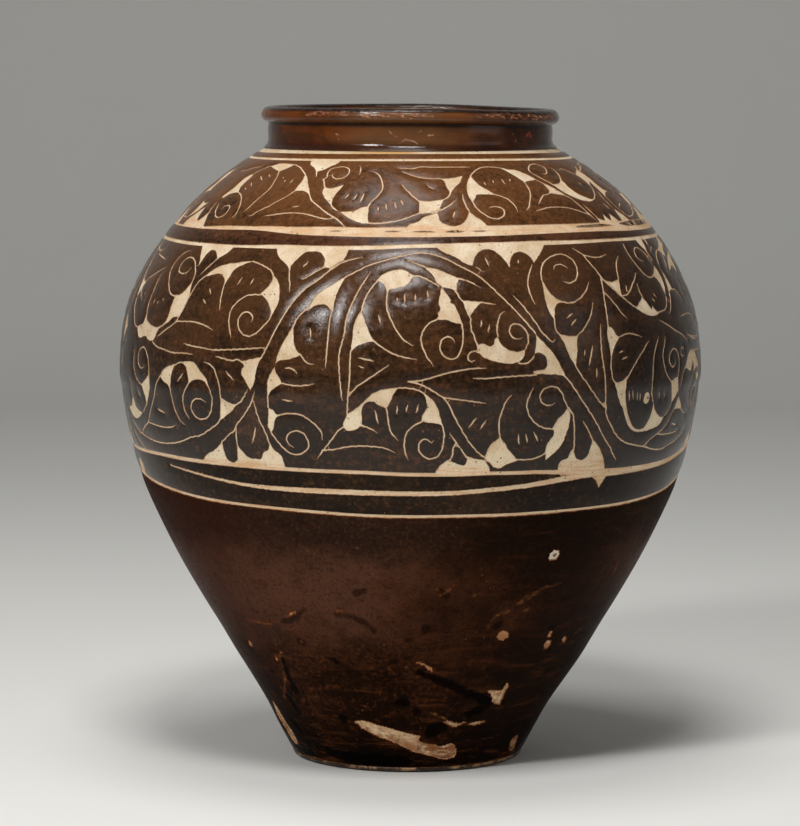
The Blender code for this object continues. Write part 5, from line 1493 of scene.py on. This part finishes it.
GLOW_MARKS = """
-24.6,74.4,0.5 -24,73.8,0.5; -33,84.4,0.8 -32.3,84.4,0.7;
-51.5,94.4,0.3 -47.6,94,0.5 -44.6,93.6,0.5 -41.4,94,0.3; -34.5,100,0.7 -32.7,102.4,1 -30.9,104.4,0.8;
-18.8,106.4,0.7 -17.4,106.4,0.7; -46.2,72.8,0.8 -46.4,69.6,0.8; -42.8,75.6,0.8 -44.6,70,0.7;
59.4,129.6,0.5 59.8,125.2,0.6 60.3,120.4,0.3; 6.3,121.6,0.3 6.8,119.5,0.5; 9,120.5,0.3 9.6,122.6,0.4;
44.6,76.6,0.8 45.4,77.4,0.6; 1.8,73.4,0.5 3,73.8,0.5; -61.4,3.4,0.7 -50.7,3.2,0.8 -43.5,3.2,0.6
"""
WORN_MARKS = """
-44.6,68,0.8 -46.5,58.8,0.7 -50.4,50,0.9 -53.6,44,1.1; 27.9,109.6,1 29.5,112.4,1.6 31.2,114.8,1.8
32.8,117.2,1.6 34.3,119.2,1.1 36.3,120,0.6 39.3,120.8,0.6;
30.4,104.8,0.9 32.2,105.6,1.1; 21.3,96,0.6 22.3,102,0.8 24.3,104.4,0.9
26.2,105.6,0.7; 6.3,121.6,0.7 7.5,118,0.9 9.4,122.4,0.8; 15.7,117.2,0.6 15.9,117.2,0.6;
53.4,81.6,0.5 55.8,83.2,0.5 59.1,86,0.4; 0.7,18,1.8 6.3,16,2.2
12.1,14.4,2.2 16.3,13.2,1.8; 14.2,34.8,0.6 10.8,38,0.7 7.8,39.6,0.6; 23.2,31.2,0.8 28.9,31.2,0.7;
-24.3,148,0.7 -23,144.8,0.5 -22.2,142.8,0.4; -11.7,148,0.7 -11.5,148,0.7;
28.2,3.2,0.5 38.4,3.2,0.6 48.3,3.4,0.6 58.3,4.4,0.6 62.5,5.6,0.6
"""
# Wear on the neck and rim, as strokes too: the chipped edge, a red blister, and pale scratches
RIM_MARKS = """
-42,396.2,1.1 -36,397.4,1 -30,396.6,1.2 -24,397.2,0.9; -17,395.2,0.9 -9,396.2,0.8 0,395.4,0.9 8,396,0.7;
26,396.4,0.7 34,397,0.9 42,396.6,1.2 50,396.2,1.4 58,395.8,1.5 66,395.2,1.5 74,395,1.2;
-30,385,0.7 -29,381,0.7; -80,396,1.2 -70,396.6,0.8
"""
NECK_BLISTER = "53,384.6,1.2 55,386.2,1.2 56,383.8,1"
NECK_SCRATCHES = """
-9.2,388,0.3 -6.8,384.6,0.35 -5.2,383.2,0.3; -4.6,379,0.25 -2,381.8,0.35 1.5,380.6,0.35 3,379,0.25;
2.8,385.8,0.3 4.4,387,0.3; 44,386.5,0.35 46,382.5,0.3 47,379.5,0.3; 7,384.2,0.6 9,384.4,0.6
"""


def smooth_share(value, low, high):
    """How far a value has come from one end to the other, from 0 to 1 with soft ends."""
    share = np.clip((value - low) / (high - low), 0, 1)
    return share * share * (3 - 2 * share)


def as_thrown(mesh):
    """Make a mesh slightly uneven, as the photo shows: rim, left shoulder and the foot's right side."""
    places = np.empty(len(mesh.vertices) * 3)
    mesh.vertices.foreach_get("co", places)
    places = places.reshape(-1, 3)
    across, height = places[:, 0].copy(), places[:, 2].copy()
    out = np.maximum(np.hypot(across, places[:, 1]), 0.02)
    tilted = smooth_share(height, *RIM_TILT_RANGE) * smooth_share(across, 0.0, NECK_RADIUS)
    places[:, 2] -= RIM_TILT * tilted
    foot = smooth_share(-height, *FOOT_DENT_RANGE) * np.clip(across / FOOT_RADIUS, 0, 1) ** 2
    places[:, 0] -= FOOT_DENT * foot
    shoulder = smooth_share(height, *SHOULDER_DENT_LOW) * smooth_share(-height, *SHOULDER_DENT_HIGH)
    places[:, 0] += SHOULDER_DENT * shoulder * np.clip(-across / out, 0, 1) ** 2
    mesh.vertices.foreach_set("co", places.ravel())
    mesh.update()


def own(piece, surface, slot, *nodes):
    """Finish a piece, with a surface unless it has one, and let it ride on the jar for its CAD nodes."""
    as_thrown(piece.data)
    if surface is not None:
        piece.data.materials.clear()
        piece.data.materials.append(surface)
    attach(piece, "root")
    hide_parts(*nodes)


def on_jar(degrees, height):
    """The place on the outside at an azimuth and a height, on the rolled rim too."""
    if height > OUTLINE[-1, 0]:
        rise = min(abs(height - ROLL_CENTRE_HEIGHT), RIM_ROLL_RADIUS)
        radius = ROLL_CENTRE_RADIUS + math.sqrt(RIM_ROLL_RADIUS ** 2 - rise ** 2)
    else:
        radius = float(np.interp(height, HEIGHTS, RADII))
    angle = math.radians(degrees)
    return radius * math.sin(angle), -radius * math.cos(angle), height


PIT_PLACE = on_jar(34.3, 0.1395)


def strokes_of(text):
    """Strokes of azimuth, height and half width as lines of places in metres, with their half widths."""
    made = []
    for row in text.split(";"):
        words = [[float(part) for part in word.split(",")] for word in row.split()]
        line = np.array([on_jar(word[0], word[1] * MM) for word in words])
        made.append((line, np.array([word[2] * MM for word in words])))
    return made


def mark_distance(places, strokes):
    """Distance in mm from places on the jar to the nearest stroke's edge, up to a limit."""
    best = np.full(len(places), MARK_REACH)
    for line, widths in strokes:
        low = line.min(0) - MARK_REACH * MM
        high = line.max(0) + MARK_REACH * MM
        near = np.all((places > low) & (places < high), axis=1)
        if near.any():
            best[near] = np.minimum(best[near], distance_to(places[near], line, widths) / MM)
    return best


def add_distances(mesh, **kinds):
    """Store on a mesh how far each point lies from each kind of stroke."""
    places = np.empty(len(mesh.vertices) * 3)
    mesh.vertices.foreach_get("co", places)
    places = places.reshape(-1, 3)
    for name, strokes in kinds.items():
        attribute = mesh.attributes.new(name, "FLOAT", "POINT")
        attribute.data.foreach_set("value", mark_distance(places, strokes).astype(np.float32))


RINGS = {
    "neck_cut": ring_edges(NECK_CUT_DRAWING, TOP_RANGE),
    "shoulder_top_cut": ring_edges(SHOULDER_TOP_DRAWING, TOP_RANGE),
    "shoulder_foot_cut": ring_edges(SHOULDER_FOOT_DRAWING, MIDDLE_RANGE),
    "belly_top_cut": ring_edges(BELLY_TOP_DRAWING, MIDDLE_RANGE),
    "belly_foot_cut": ring_edges(BELLY_FOOT_DRAWING, LOW_RANGE),
    "last_cut": ring_edges(LAST_CUT_DRAWING, LOW_RANGE),
    "foot_cut": ring_edges(FOOT_CUT_DRAWING, FOOT_RANGE),
}


def all_round(cuts):
    """Cuts with copies a whole turn away, so that those at the seam are cut on both sides of it."""
    limit = HALF_TURN + SEAM_MARGIN
    made = []
    for cut in cuts:
        made.append(cut)
        for turn in (-2 * HALF_TURN, 2 * HALF_TURN):
            line = cut.line + np.array([turn, 0.0])
            if line[:, 0].max() > -limit and line[:, 0].min() < limit:
                made.append(Cut(line, cut.widths, cut.island))
    return [cut for cut in made if cut.high[0] > -limit and cut.low[0] < limit]


def between(lower, upper, carved, wall, reach=0.8):
    """A band with its cuts, reaching most of the way across the cut rings below and above it."""
    cuts = all_round(carved) + [ring_cut(RINGS[lower]), ring_cut(RINGS[upper])]

    def low_edge(across):
        return ring_share(RINGS[lower], 1 - reach, across)

    def high_edge(across):
        return ring_share(RINGS[upper], reach, across)

    return Band(low_edge, high_edge, cuts, wall)


def islands_of(text, span, spacing, shake):
    """Patches of glaze left standing inside other cuts."""
    return [Cut(cut.line, None, True) for cut in windows_of(read_drawing(text, span), spacing, shake)]


def scroll_cuts(carving, drawings, span, copies, steps):
    """Every window, line and tick of a scroll, all the way round.

    The steps are the spacings of windows, lines and ticks along them, and how long a line tapers.
    """
    half, shake = carving.line_half, carving.shake
    rows = [carried_round(read_drawing(text, span), copies) for text in drawings]
    windows = windows_of(rows[0], steps[0], shake)
    lines = lines_of(rows[1], windows, half, steps[1], steps[3], shake)
    ticks = lines_of(rows[2], [], half * TICK_WIDTH, steps[2], TICK_TAPER, shake)
    return windows + lines + ticks


def chips_of(text, spacing, shake, island=False):
    """Chips from outlines of azimuth and height in mm."""
    made = []
    for pairs, corners, _ in read_drawing(text, None):
        flat = np.interp(pairs[:, 1] * MM, HEIGHTS, PLACES) / MM
        points = np.stack([flat_azimuth(pairs[:, 0]), flat], 1)
        scale = float(local_scale(flat).mean())
        loop = counter_clockwise(closed_through(points, corners, spacing / scale))
        made.append(Cut(hand_shaken(loop, shake / scale), None, island))
    return made


# The scrolls' copies round the back: from and up to which azimuth, the azimuth that moves, where it
# goes, and how far the copy is squeezed
BELLY_COPIES = ((-48, 72, 0.0, 120.0, 1.0), (-48, 44, 0.0, 240.0, 1.0))
SHOULDER_SQUEEZE = 71.33 / 78
SHOULDER_COPIES = tuple((-8, 70, -8.0, start, SHOULDER_SQUEEZE) for start in (70.0, 141.33, 212.66))
BELLY_STEPS = (1.6, 1.5, 1.2, 5.0)
SHOULDER_STEPS = (1.4, 1.3, 1.1, 4.0)
TICK_TAPER = 2.5
WINDOW_STEP = 1.4

# The turned pieces, in metres: depths under the outline, heights, radii and widths
GLAZE_BED = 0.0011
CLAY_BED = 0.0019
WALL = 0.0085
BARE_CLAY_BED = 0.0009
LINING_BED = 0.0107
LINING = 0.0006
SLIP_EDGE = 0.1599
LINING_TOP = HEIGHT - 0.0123
FLOOR_HEIGHT = 0.0090
NECK_GLAZE = 0.0008
NECK_GLAZE_END = 0.37505
NECK_TOP = 0.3903
NECK_FOOT = 0.3745
LIP_SEAT = 0.0005
LIP_SEAT_RADIUS = 0.0857
SLIP_TOP = 0.3757
LOWER_WALL_FOOT = 0.0093
UPPER_WALL_TOP = 0.3734
INNER_SHOULDER = 0.3725
THROAT = 0.3632
THROAT_EASE = 0.002
SEAM_GAP = 0.0003
CLAY_STEP = 0.004
BARE_CLAY_TOP = SLIP_EDGE - 0.0012
FLOOR_EDGE = outside(0.009, 0.0011)[0]
RING_RADIUS = FOOT_RADIUS - 0.0022
RING_WIDTH = 0.0140
HOLLOW = 0.0015
HOLLOW_SLOPE = 0.0030
ROLL_FLATNESS = 0.78
NECK_WALL = (
    (0.0868, 0.3900), (0.0870, 0.3888), (0.0872, 0.3862), (0.0871, 0.3830), (0.0870, 0.3800),
    (0.0873, 0.3785), (0.0880, 0.3770), (0.0889, 0.3760),
)


def neck_wall(depth):
    """Points of the neck's upright wall, depth inside it, from the crease under the rim down."""
    corners = np.array([*NECK_WALL, (float(np.interp(NECK_GLAZE_END, HEIGHTS, RADII)), NECK_GLAZE_END)])
    return [(radius - depth, height) for radius, height in curve_through(corners, 0.0006)]


def stretch(top, bottom, depth, step=0.002):
    """Points depth inside the outline from a top height down to a bottom one."""
    count = max(2, int(round(abs(top - bottom) / step)) + 1)
    return [outside(height, depth) for height in np.linspace(top, bottom, count)]


def roll(depth, start=180.0, end=-80.0, count=24):
    """Points of the rolled rim, depth inside its surface, from the bore over the top and down outside."""
    points = []
    for angle in np.radians(np.linspace(start, end, count)):
        radius = ROLL_CENTRE_RADIUS + (RIM_ROLL_RADIUS - depth) * math.cos(angle)
        rise = math.sin(angle) * (1.0 if angle > 0 else ROLL_FLATNESS)
        points.append((radius, ROLL_CENTRE_HEIGHT + (RIM_ROLL_RADIUS - depth) * rise))
    return points


def lining_side(depth, bore, floor):
    """The jar's inner face from the rim down to the middle of the floor."""
    points = [(bore, height) for height in np.linspace(LINING_TOP, THROAT + 0.0013, 8)]
    for point in stretch(INNER_SHOULDER, 0.0105, depth, CLAY_STEP):
        under_throat = point[0] > bore + THROAT_EASE and point[1] < THROAT + 0.0003
        if point[1] < BELLY_HEIGHT or under_throat:
            points.append(point)
    points.append((points[-1][0] - 0.004, floor + 0.0004))
    points += [(radius, floor) for radius in (0.045, 0.02, 0.0)]
    return points


def colour_of(label, told, red, green, blue):
    """A colour that a user can change."""
    return bpy.props.FloatVectorProperty(name=label, description=told, subtype="COLOR", size=4, min=0.0,
                                         max=1.0, default=srgb(red, green, blue))


class JarCarving(bpy.types.PropertyGroup):
    """Sizes of the carving, in mm"""

    line_half: bpy.props.FloatProperty(
        name="Line half width", description="Half the width of a carved line, in mm", default=0.36,
        min=0.2, max=1.5)
    shake: bpy.props.FloatProperty(
        name="Hand's shake", description="How far the tool wanders off its line, in mm", default=0.20,
        min=0.0, max=1.0)
    wall: bpy.props.FloatProperty(
        name="Cut wall", description="How wide a cut's sloping wall is, in mm", default=0.18, min=0.05,
        max=0.5)
    puff: bpy.props.FloatProperty(
        name="Rounding", description="How far the glaze rolls down towards a cut, in metres",
        default=0.0005, min=0.0, max=0.0007, precision=5, unit="LENGTH")


class JarColours(bpy.types.PropertyGroup):
    """Colours of the glazes"""

    belly_deep: colour_of("Belly, deep", "Darkest tone of the belly's glaze", 34, 19, 6)
    belly_body: colour_of("Belly, body", "Usual tone of the belly's glaze", 76, 48, 25)
    belly_rust: colour_of("Belly, rust", "Rusty tone of the belly's glaze", 114, 66, 34)
    shoulder_deep: colour_of("Shoulder, deep", "Darkest tone of the shoulder's glaze", 36, 22, 11)
    shoulder_body: colour_of("Shoulder, body", "Usual tone of the shoulder's glaze", 100, 62, 32)
    shoulder_rust: colour_of("Shoulder, rust", "Rusty tone of the shoulder's glaze", 124, 78, 40)
    ring_body: colour_of("Dividing ring, body", "Usual tone of the ring between the scrolls", 88, 54, 34)
    border_deep: colour_of("Border, deep", "Darkest tone of the plain border's glaze", 26, 15, 6)
    border_body: colour_of("Border, body", "Usual tone of the plain border's glaze", 54, 36, 20)
    border_rust: colour_of("Border, rust", "Rusty tone of the plain border's glaze", 96, 62, 30)


class JarLights(bpy.types.PropertyGroup):
    """Strengths of the lamps, in watts, and of the room's light"""

    key: bpy.props.FloatProperty(
        name="Key", description="Softbox in front, to the left", default=22.0, min=0.0, unit="POWER")
    top: bpy.props.FloatProperty(
        name="Top", description="Softbox above the jar", default=8.0, min=0.0, unit="POWER")
    front: bpy.props.FloatProperty(
        name="Front", description="Softbox high in front", default=13.0, min=0.0, unit="POWER")
    right: bpy.props.FloatProperty(
        name="Right", description="Weak softbox to the right", default=2.5, min=0.0, unit="POWER")
    room: bpy.props.FloatProperty(name="Room", description="Even light from the room", default=0.15,
                                  min=0.0)


class JAR_OT_slip(bpy.types.Operator):
    """Make the white slip coat that shows in every cut"""

    bl_idname = "jar.slip"
    bl_label = "White slip"

    def execute(self, context):
        outer = stretch(SLIP_TOP, SLIP_EDGE, SLIP_DEPTH)
        inner = stretch(SLIP_TOP, SLIP_EDGE, SLIP_DEPTH + SLIP_THICKNESS)
        piece = turned_piece("white_slip_coat", outer + inner[::-1], SEGMENTS, slip_material())
        own(piece, None, "white_slip", "slip_coat")
        return {"FINISHED"}


def border_cuts(shake):
    """The long tapering line cut through the plain border, and the drips that hang into it."""
    rows = read_drawing(BORDER_LINE, LOW_RANGE)
    line = hand_shaken(curve_through(flat_points(rows[0][0], LOW_RANGE), 2.0), shake)
    marks = np.linspace(0, 1, len(BORDER_LINE_WIDTHS))
    widths = np.interp(np.linspace(0, 1, len(line)), marks, BORDER_LINE_WIDTHS)
    drips = windows_of(read_drawing(BORDER_WINDOWS, LOW_RANGE), WINDOW_STEP, shake)
    return [Cut(line, widths / local_scale(line[:, 1]))] + drips


class JAR_OT_carved_bands(bpy.types.Operator):
    """Make the glaze bands and carve the scrolls and rings through them"""

    bl_idname = "jar.carved_bands"
    bl_label = "Carved glaze bands"

    def execute(self, context):
        carving = context.scene.jar_carving
        tints = context.scene.jar_colours
        belly_tones = (tints.belly_deep, tints.belly_body, tints.belly_rust)
        shoulder_tones = (tints.shoulder_deep, tints.shoulder_body, tints.shoulder_rust)
        border_tones = (tints.border_deep, tints.border_body, tints.border_rust)
        belly_skin = band_material("belly_iron_glaze", belly_tones, (0.20, 0.32, 0.15, 0.80),
                                   (0.20, 0.27, 0.26, 0.10), 0.31)
        shoulder_skin = band_material("shoulder_iron_glaze", shoulder_tones, (0.32, 0.37, 0.6, 0.8),
                                      (0.32, 0.37, 0.25, 0.25), 0.18)
        ring_tones = (tints.belly_deep, tints.ring_body, tints.belly_rust)
        ring_skin = band_material("dividing_ring_glaze", ring_tones, (0.30, 0.34, 0.4, 0.6),
                                  (0.20, 0.27, 0.2, 0.2), 0.20)
        border_skin = band_material("border_iron_glaze", border_tones, (0.16, 0.20, 0.3, 0.4),
                                    (0.16, 0.20, 0.2, 0.2), 0.10)
        slivers = islands_of(SHOULDER_SLIVERS, MIDDLE_RANGE, WINDOW_STEP, carving.shake)
        dots = islands_of(BELLY_DOT, BELLY_RANGE, 0.6, 0.0)
        belly = scroll_cuts(carving, (BELLY_WINDOWS, BELLY_LINES, BELLY_TICKS), BELLY_RANGE, BELLY_COPIES,
                            BELLY_STEPS)
        shoulder = scroll_cuts(carving, (SHOULDER_WINDOWS, SHOULDER_LINES, SHOULDER_TICKS),
                               SHOULDER_RANGE, SHOULDER_COPIES, SHOULDER_STEPS)
        plan = (
            ("neck_ring", "shoulder_top_cut", "neck_cut", [], shoulder_skin, ("neck_ring_glaze",), 5.0),
            ("shoulder_band", "shoulder_foot_cut", "shoulder_top_cut", shoulder + slivers,
             shoulder_skin, ("shoulder_band_glaze",), 4.6),
            ("dividing_ring", "belly_top_cut", "shoulder_foot_cut", [], ring_skin,
             ("dividing_ring_glaze",), 4.0),
            ("belly_band", "belly_foot_cut", "belly_top_cut", belly + dots, belly_skin,
             ("belly_band_glaze",), 2.9),
            ("plain_border", "last_cut", "belly_foot_cut", border_cuts(carving.shake), border_skin,
             ("upper_border_glaze", "lower_border_glaze"), 3.6),
        )
        relief = (GLAZE_DEPTH, carving.puff, PUFF_REACH)
        for name, lower, upper, carved, surface, nodes, spacing in plan:
            band = between(lower, upper, carved, carving.wall)
            own(carve_band(name, band, relief, spacing), surface, "dark_glaze", *nodes)
        return {"FINISHED"}


class JAR_OT_lower_body(bpy.types.Operator):
    """Make the plain lower coat of glaze with its chips and stains, down to just above the foot"""

    bl_idname = "jar.lower_body"
    bl_label = "Lower glaze"

    def execute(self, context):
        carving = context.scene.jar_carving
        chips = chips_of(LOWER_CHIPS, 0.7, CHIP_SHAKE) + chips_of(LOWER_ISLANDS, 0.5, 0.0, True)
        band = between("foot_cut", "last_cut", chips, carving.wall, 0.85)
        relief = (GLAZE_DEPTH, carving.puff, PUFF_REACH)
        black, worn, glow = strokes_of(BLACK_MARKS), strokes_of(WORN_MARKS), strokes_of(GLOW_MARKS)
        piece = carve_band("lower_body", band, relief, 5.0, black + worn + glow)
        add_distances(piece.data, black=black, worn=worn, glow=glow)
        own(piece, lower_material(), "red_brown_glaze", "lower_body_glaze")
        return {"FINISHED"}


class JAR_OT_neck(bpy.types.Operator):
    """Turn the amber glaze of the neck and rim, and the clay under it"""

    bl_idname = "jar.neck"
    bl_label = "Neck and rim"

    def execute(self, context):
        top = [(BORE_RADIUS, HEIGHT - 0.012), (BORE_RADIUS, HEIGHT - 0.009)]
        outer = top + roll(0.0, count=40) + neck_wall(0.0)
        inner = [(radius + NECK_GLAZE, height) for radius, height in top]
        inner += roll(NECK_GLAZE) + neck_wall(NECK_GLAZE)
        piece = turned_piece("neck_and_rim", outer + inner[::-1], FINE_SEGMENTS, neck_material())
        add_distances(piece.data, worn=strokes_of(RIM_MARKS), scratch=strokes_of(NECK_SCRATCHES),
                      blister=strokes_of(NECK_BLISTER))
        own(piece, None, "amber_glaze", "neck_glaze")
        clay = clay_material()
        bore = BORE_RADIUS + GLAZE_BED
        wall = neck_wall(GLAZE_BED)
        collar = [(bore, NECK_TOP), (wall[0][0], NECK_TOP), *wall, (bore, NECK_FOOT)]
        neck = turned_piece("neck_clay", collar, FEW_SEGMENTS, clay)
        own(neck, None, "stoneware_clay", "neck_collar")
        seat = NECK_TOP + LIP_SEAT
        lip = roll(GLAZE_BED, end=-75.0) + [(LIP_SEAT_RADIUS, seat), (bore, seat)]
        own(turned_piece("rim_clay", lip, FEW_SEGMENTS, clay), None, "stoneware_clay", "rolled_rim")
        return {"FINISHED"}


class JAR_OT_clay(bpy.types.Operator):
    """Turn the clay walls, the foot and the glaze that lines the jar"""

    bl_idname = "jar.clay"
    bl_label = "Clay and lining"

    def execute(self, context):
        clay = bpy.data.materials.get("fired_stoneware_clay") or clay_material()
        lower = stretch(SEAM, SLIP_EDGE, CLAY_BED)
        lower += stretch(BARE_CLAY_TOP, LOWER_WALL_FOOT, BARE_CLAY_BED)
        lower += stretch(LOWER_WALL_FOOT, SEAM, CLAY_BED + WALL, CLAY_STEP)
        own(turned_piece("lower_wall_clay", lower, SEGMENTS, clay), None, "stoneware_clay", "lower_wall")
        bore = BORE_RADIUS + GLAZE_BED
        inner = [point for point in stretch(SEAM + SEAM_GAP, INNER_SHOULDER, CLAY_BED + WALL, CLAY_STEP)
                 if point[0] > bore + THROAT_EASE]
        upper = stretch(UPPER_WALL_TOP, SEAM + SEAM_GAP, CLAY_BED) + inner
        upper += [(bore, THROAT), (bore, UPPER_WALL_TOP)]
        own(turned_piece("upper_wall_clay", upper, SEGMENTS, clay), None, "stoneware_clay", "upper_wall")
        floor = [(0.0, FLOOR_HEIGHT), (FLOOR_EDGE, FLOOR_HEIGHT)]
        floor += stretch(0.0085, 0.0032, BARE_CLAY_BED) + stretch(0.0026, 0.0012, 0.0, 0.0005)
        inside = RING_RADIUS - RING_WIDTH
        floor += [(RING_RADIUS + 0.0012, 0.0004), (RING_RADIUS, 0.0), (inside, 0.0),
                  (inside - HOLLOW_SLOPE, HOLLOW), (0.0, HOLLOW)]
        own(turned_piece("foot_clay", floor, SEGMENTS, clay), None, "stoneware_clay", "base_slab")
        near = lining_side(LINING_BED, BORE_RADIUS + 0.0008, FLOOR_HEIGHT + 0.0003)
        far = lining_side(LINING_BED + LINING, BORE_RADIUS + 0.0002, FLOOR_HEIGHT + 0.0009)
        lining = turned_piece("lining", near + far[::-1], FEW_SEGMENTS, lining_material())
        own(lining, None, "dark_glaze", "inner_glaze")
        return {"FINISHED"}


# The camera, in metres, and the photograph's size and the jar's middle in pixels
CAMERA_DISTANCE = 2.285
CAMERA_HEIGHT = 0.440
AIM_HEIGHT = 0.21098
FOCAL_PIXELS = 3719.28
PHOTO_SIZE = (800, 826)
CENTRE_COLUMN = 410.3
SENSOR = 36.0

# The floor and backdrop, in metres
SWEEP_REACH = 6.0
BEND_START = 2.2
BEND = 1.2
BACKDROP_TOP = 5.0

# The lamps: name, place and size in metres
LAMP_AIM = (0.0, 0.0, 0.24)
LAMPS = (
    ("key", (-1.10, -1.65, 1.55), (0.36, 0.36)),
    ("top", (-0.10, -0.10, 1.85), (0.70, 0.60)),
    ("front", (-0.06, -0.95, 1.75), (0.45, 0.40)),
    ("right", (1.90, -1.00, 0.90), (1.20, 1.20)),
)


def place_camera(scene):
    """The camera where the photograph was taken from."""
    camera = bpy.data.objects.new("camera", bpy.data.cameras.new("camera"))
    scene.collection.objects.link(camera)
    camera.location = (0.0, -CAMERA_DISTANCE, CAMERA_HEIGHT)
    aim = Vector((0.0, 0.0, AIM_HEIGHT)) - camera.location
    camera.rotation_euler = aim.to_track_quat("-Z", "Y").to_euler()
    camera.data.sensor_fit = "VERTICAL"
    camera.data.sensor_height = SENSOR
    camera.data.lens = FOCAL_PIXELS / PHOTO_SIZE[1] * SENSOR
    camera.data.shift_x = (PHOTO_SIZE[0] / 2 - CENTRE_COLUMN) / PHOTO_SIZE[1]
    scene.camera = camera


def pale_sweep():
    """A pale floor that curves up into a backdrop far behind the jar."""
    section = [(-SWEEP_REACH, 0.0), (BEND_START, 0.0)]
    for angle in np.radians(np.linspace(0, 90, 25)):
        section.append((BEND_START + BEND * math.sin(angle), BEND - BEND * math.cos(angle)))
    section.append((BEND_START + BEND, BACKDROP_TOP))
    places = []
    for depth, height in section:
        places += [(-SWEEP_REACH, depth, height), (SWEEP_REACH, depth, height)]
    faces = []
    for row in range(len(section) - 1):
        first = 2 * row
        faces.append((first, first + 1, first + 3, first + 2))
    mesh = bpy.data.meshes.new("pale_sweep")
    mesh.from_pydata(places, [], faces)
    mesh.shade_smooth()
    sweep = bpy.data.objects.new("pale_sweep", mesh)
    bpy.context.scene.collection.objects.link(sweep)
    made, tools, shader = new_material("pale_floor")
    mottle = tools.noise(tools.place(), 3.0, 2.0)
    tools.plug(shader.inputs["Base Color"], tools.mix(mottle, srgb(236, 235, 230), srgb(240, 239, 234)))
    shader.inputs["Roughness"].default_value = 0.9
    shader.inputs["Specular IOR Level"].default_value = 0.2
    mesh.materials.append(made)
    return sweep


def place_lamp(scene, name, place, size, power):
    """A soft rectangular lamp, turned to the jar."""
    lamp = bpy.data.lights.new(name, "AREA")
    lamp.shape = "RECTANGLE"
    lamp.size, lamp.size_y = size
    lamp.energy = power
    holder = bpy.data.objects.new(name, lamp)
    scene.collection.objects.link(holder)
    holder.location = place
    turn = Vector(LAMP_AIM) - Vector(place)
    holder.rotation_euler = turn.to_track_quat("-Z", "Y").to_euler()


class JAR_OT_stage(bpy.types.Operator):
    """Make the pale floor, the soft lights and the camera"""

    bl_idname = "jar.stage"
    bl_label = "Stage"

    def execute(self, context):
        scene = context.scene
        lights = scene.jar_lights
        scene.view_settings.view_transform = "Standard"
        place_camera(scene)
        pale_sweep()
        world = bpy.data.worlds.new("room")
        world.use_nodes = True
        scene.world = world
        background = world.node_tree.nodes["Background"]
        background.inputs["Color"].default_value = srgb(250, 250, 250)
        background.inputs["Strength"].default_value = lights.room
        for name, place, size in LAMPS:
            place_lamp(scene, name, place, size, getattr(lights, name))
        return {"FINISHED"}


class JAR_PT_pieces(bpy.types.Panel):
    """The jar's pieces and their settings"""

    bl_idname = "JAR_PT_pieces"
    bl_label = "Carved jar"
    bl_space_type = "VIEW_3D"
    bl_region_type = "UI"
    bl_category = "Jar"

    def draw(self, context):
        for group in (context.scene.jar_carving, context.scene.jar_colours, context.scene.jar_lights):
            box = self.layout.box()
            for name in type(group).__annotations__:
                box.prop(group, name)
        for made in OPERATORS:
            self.layout.operator(made.bl_idname)


OPERATORS = (JAR_OT_slip, JAR_OT_carved_bands, JAR_OT_lower_body, JAR_OT_neck, JAR_OT_clay, JAR_OT_stage)
CLASSES = (JarCarving, JarColours, JarLights, *OPERATORS, JAR_PT_pieces)


def register():
    """Register every class and hang the settings on the scene."""
    for made in CLASSES:
        bpy.utils.register_class(made)
    bpy.types.Scene.jar_carving = bpy.props.PointerProperty(type=JarCarving)
    bpy.types.Scene.jar_colours = bpy.props.PointerProperty(type=JarColours)
    bpy.types.Scene.jar_lights = bpy.props.PointerProperty(type=JarLights)


def unregister():
    """Take the settings and every class out again."""
    del bpy.types.Scene.jar_carving
    del bpy.types.Scene.jar_colours
    del bpy.types.Scene.jar_lights
    for made in reversed(CLASSES):
        bpy.utils.unregister_class(made)


def main():
    """Build the jar's looks and stage."""
    for leftover in ("Cube", "Light", "Camera"):
        if leftover in bpy.data.objects:
            bpy.data.objects.remove(bpy.data.objects[leftover])
    register()
    bpy.ops.jar.slip()
    bpy.ops.jar.carved_bands()
    bpy.ops.jar.lower_body()
    bpy.ops.jar.neck()
    bpy.ops.jar.clay()
    bpy.ops.jar.stage()


if __name__ == "__main__":
    main()
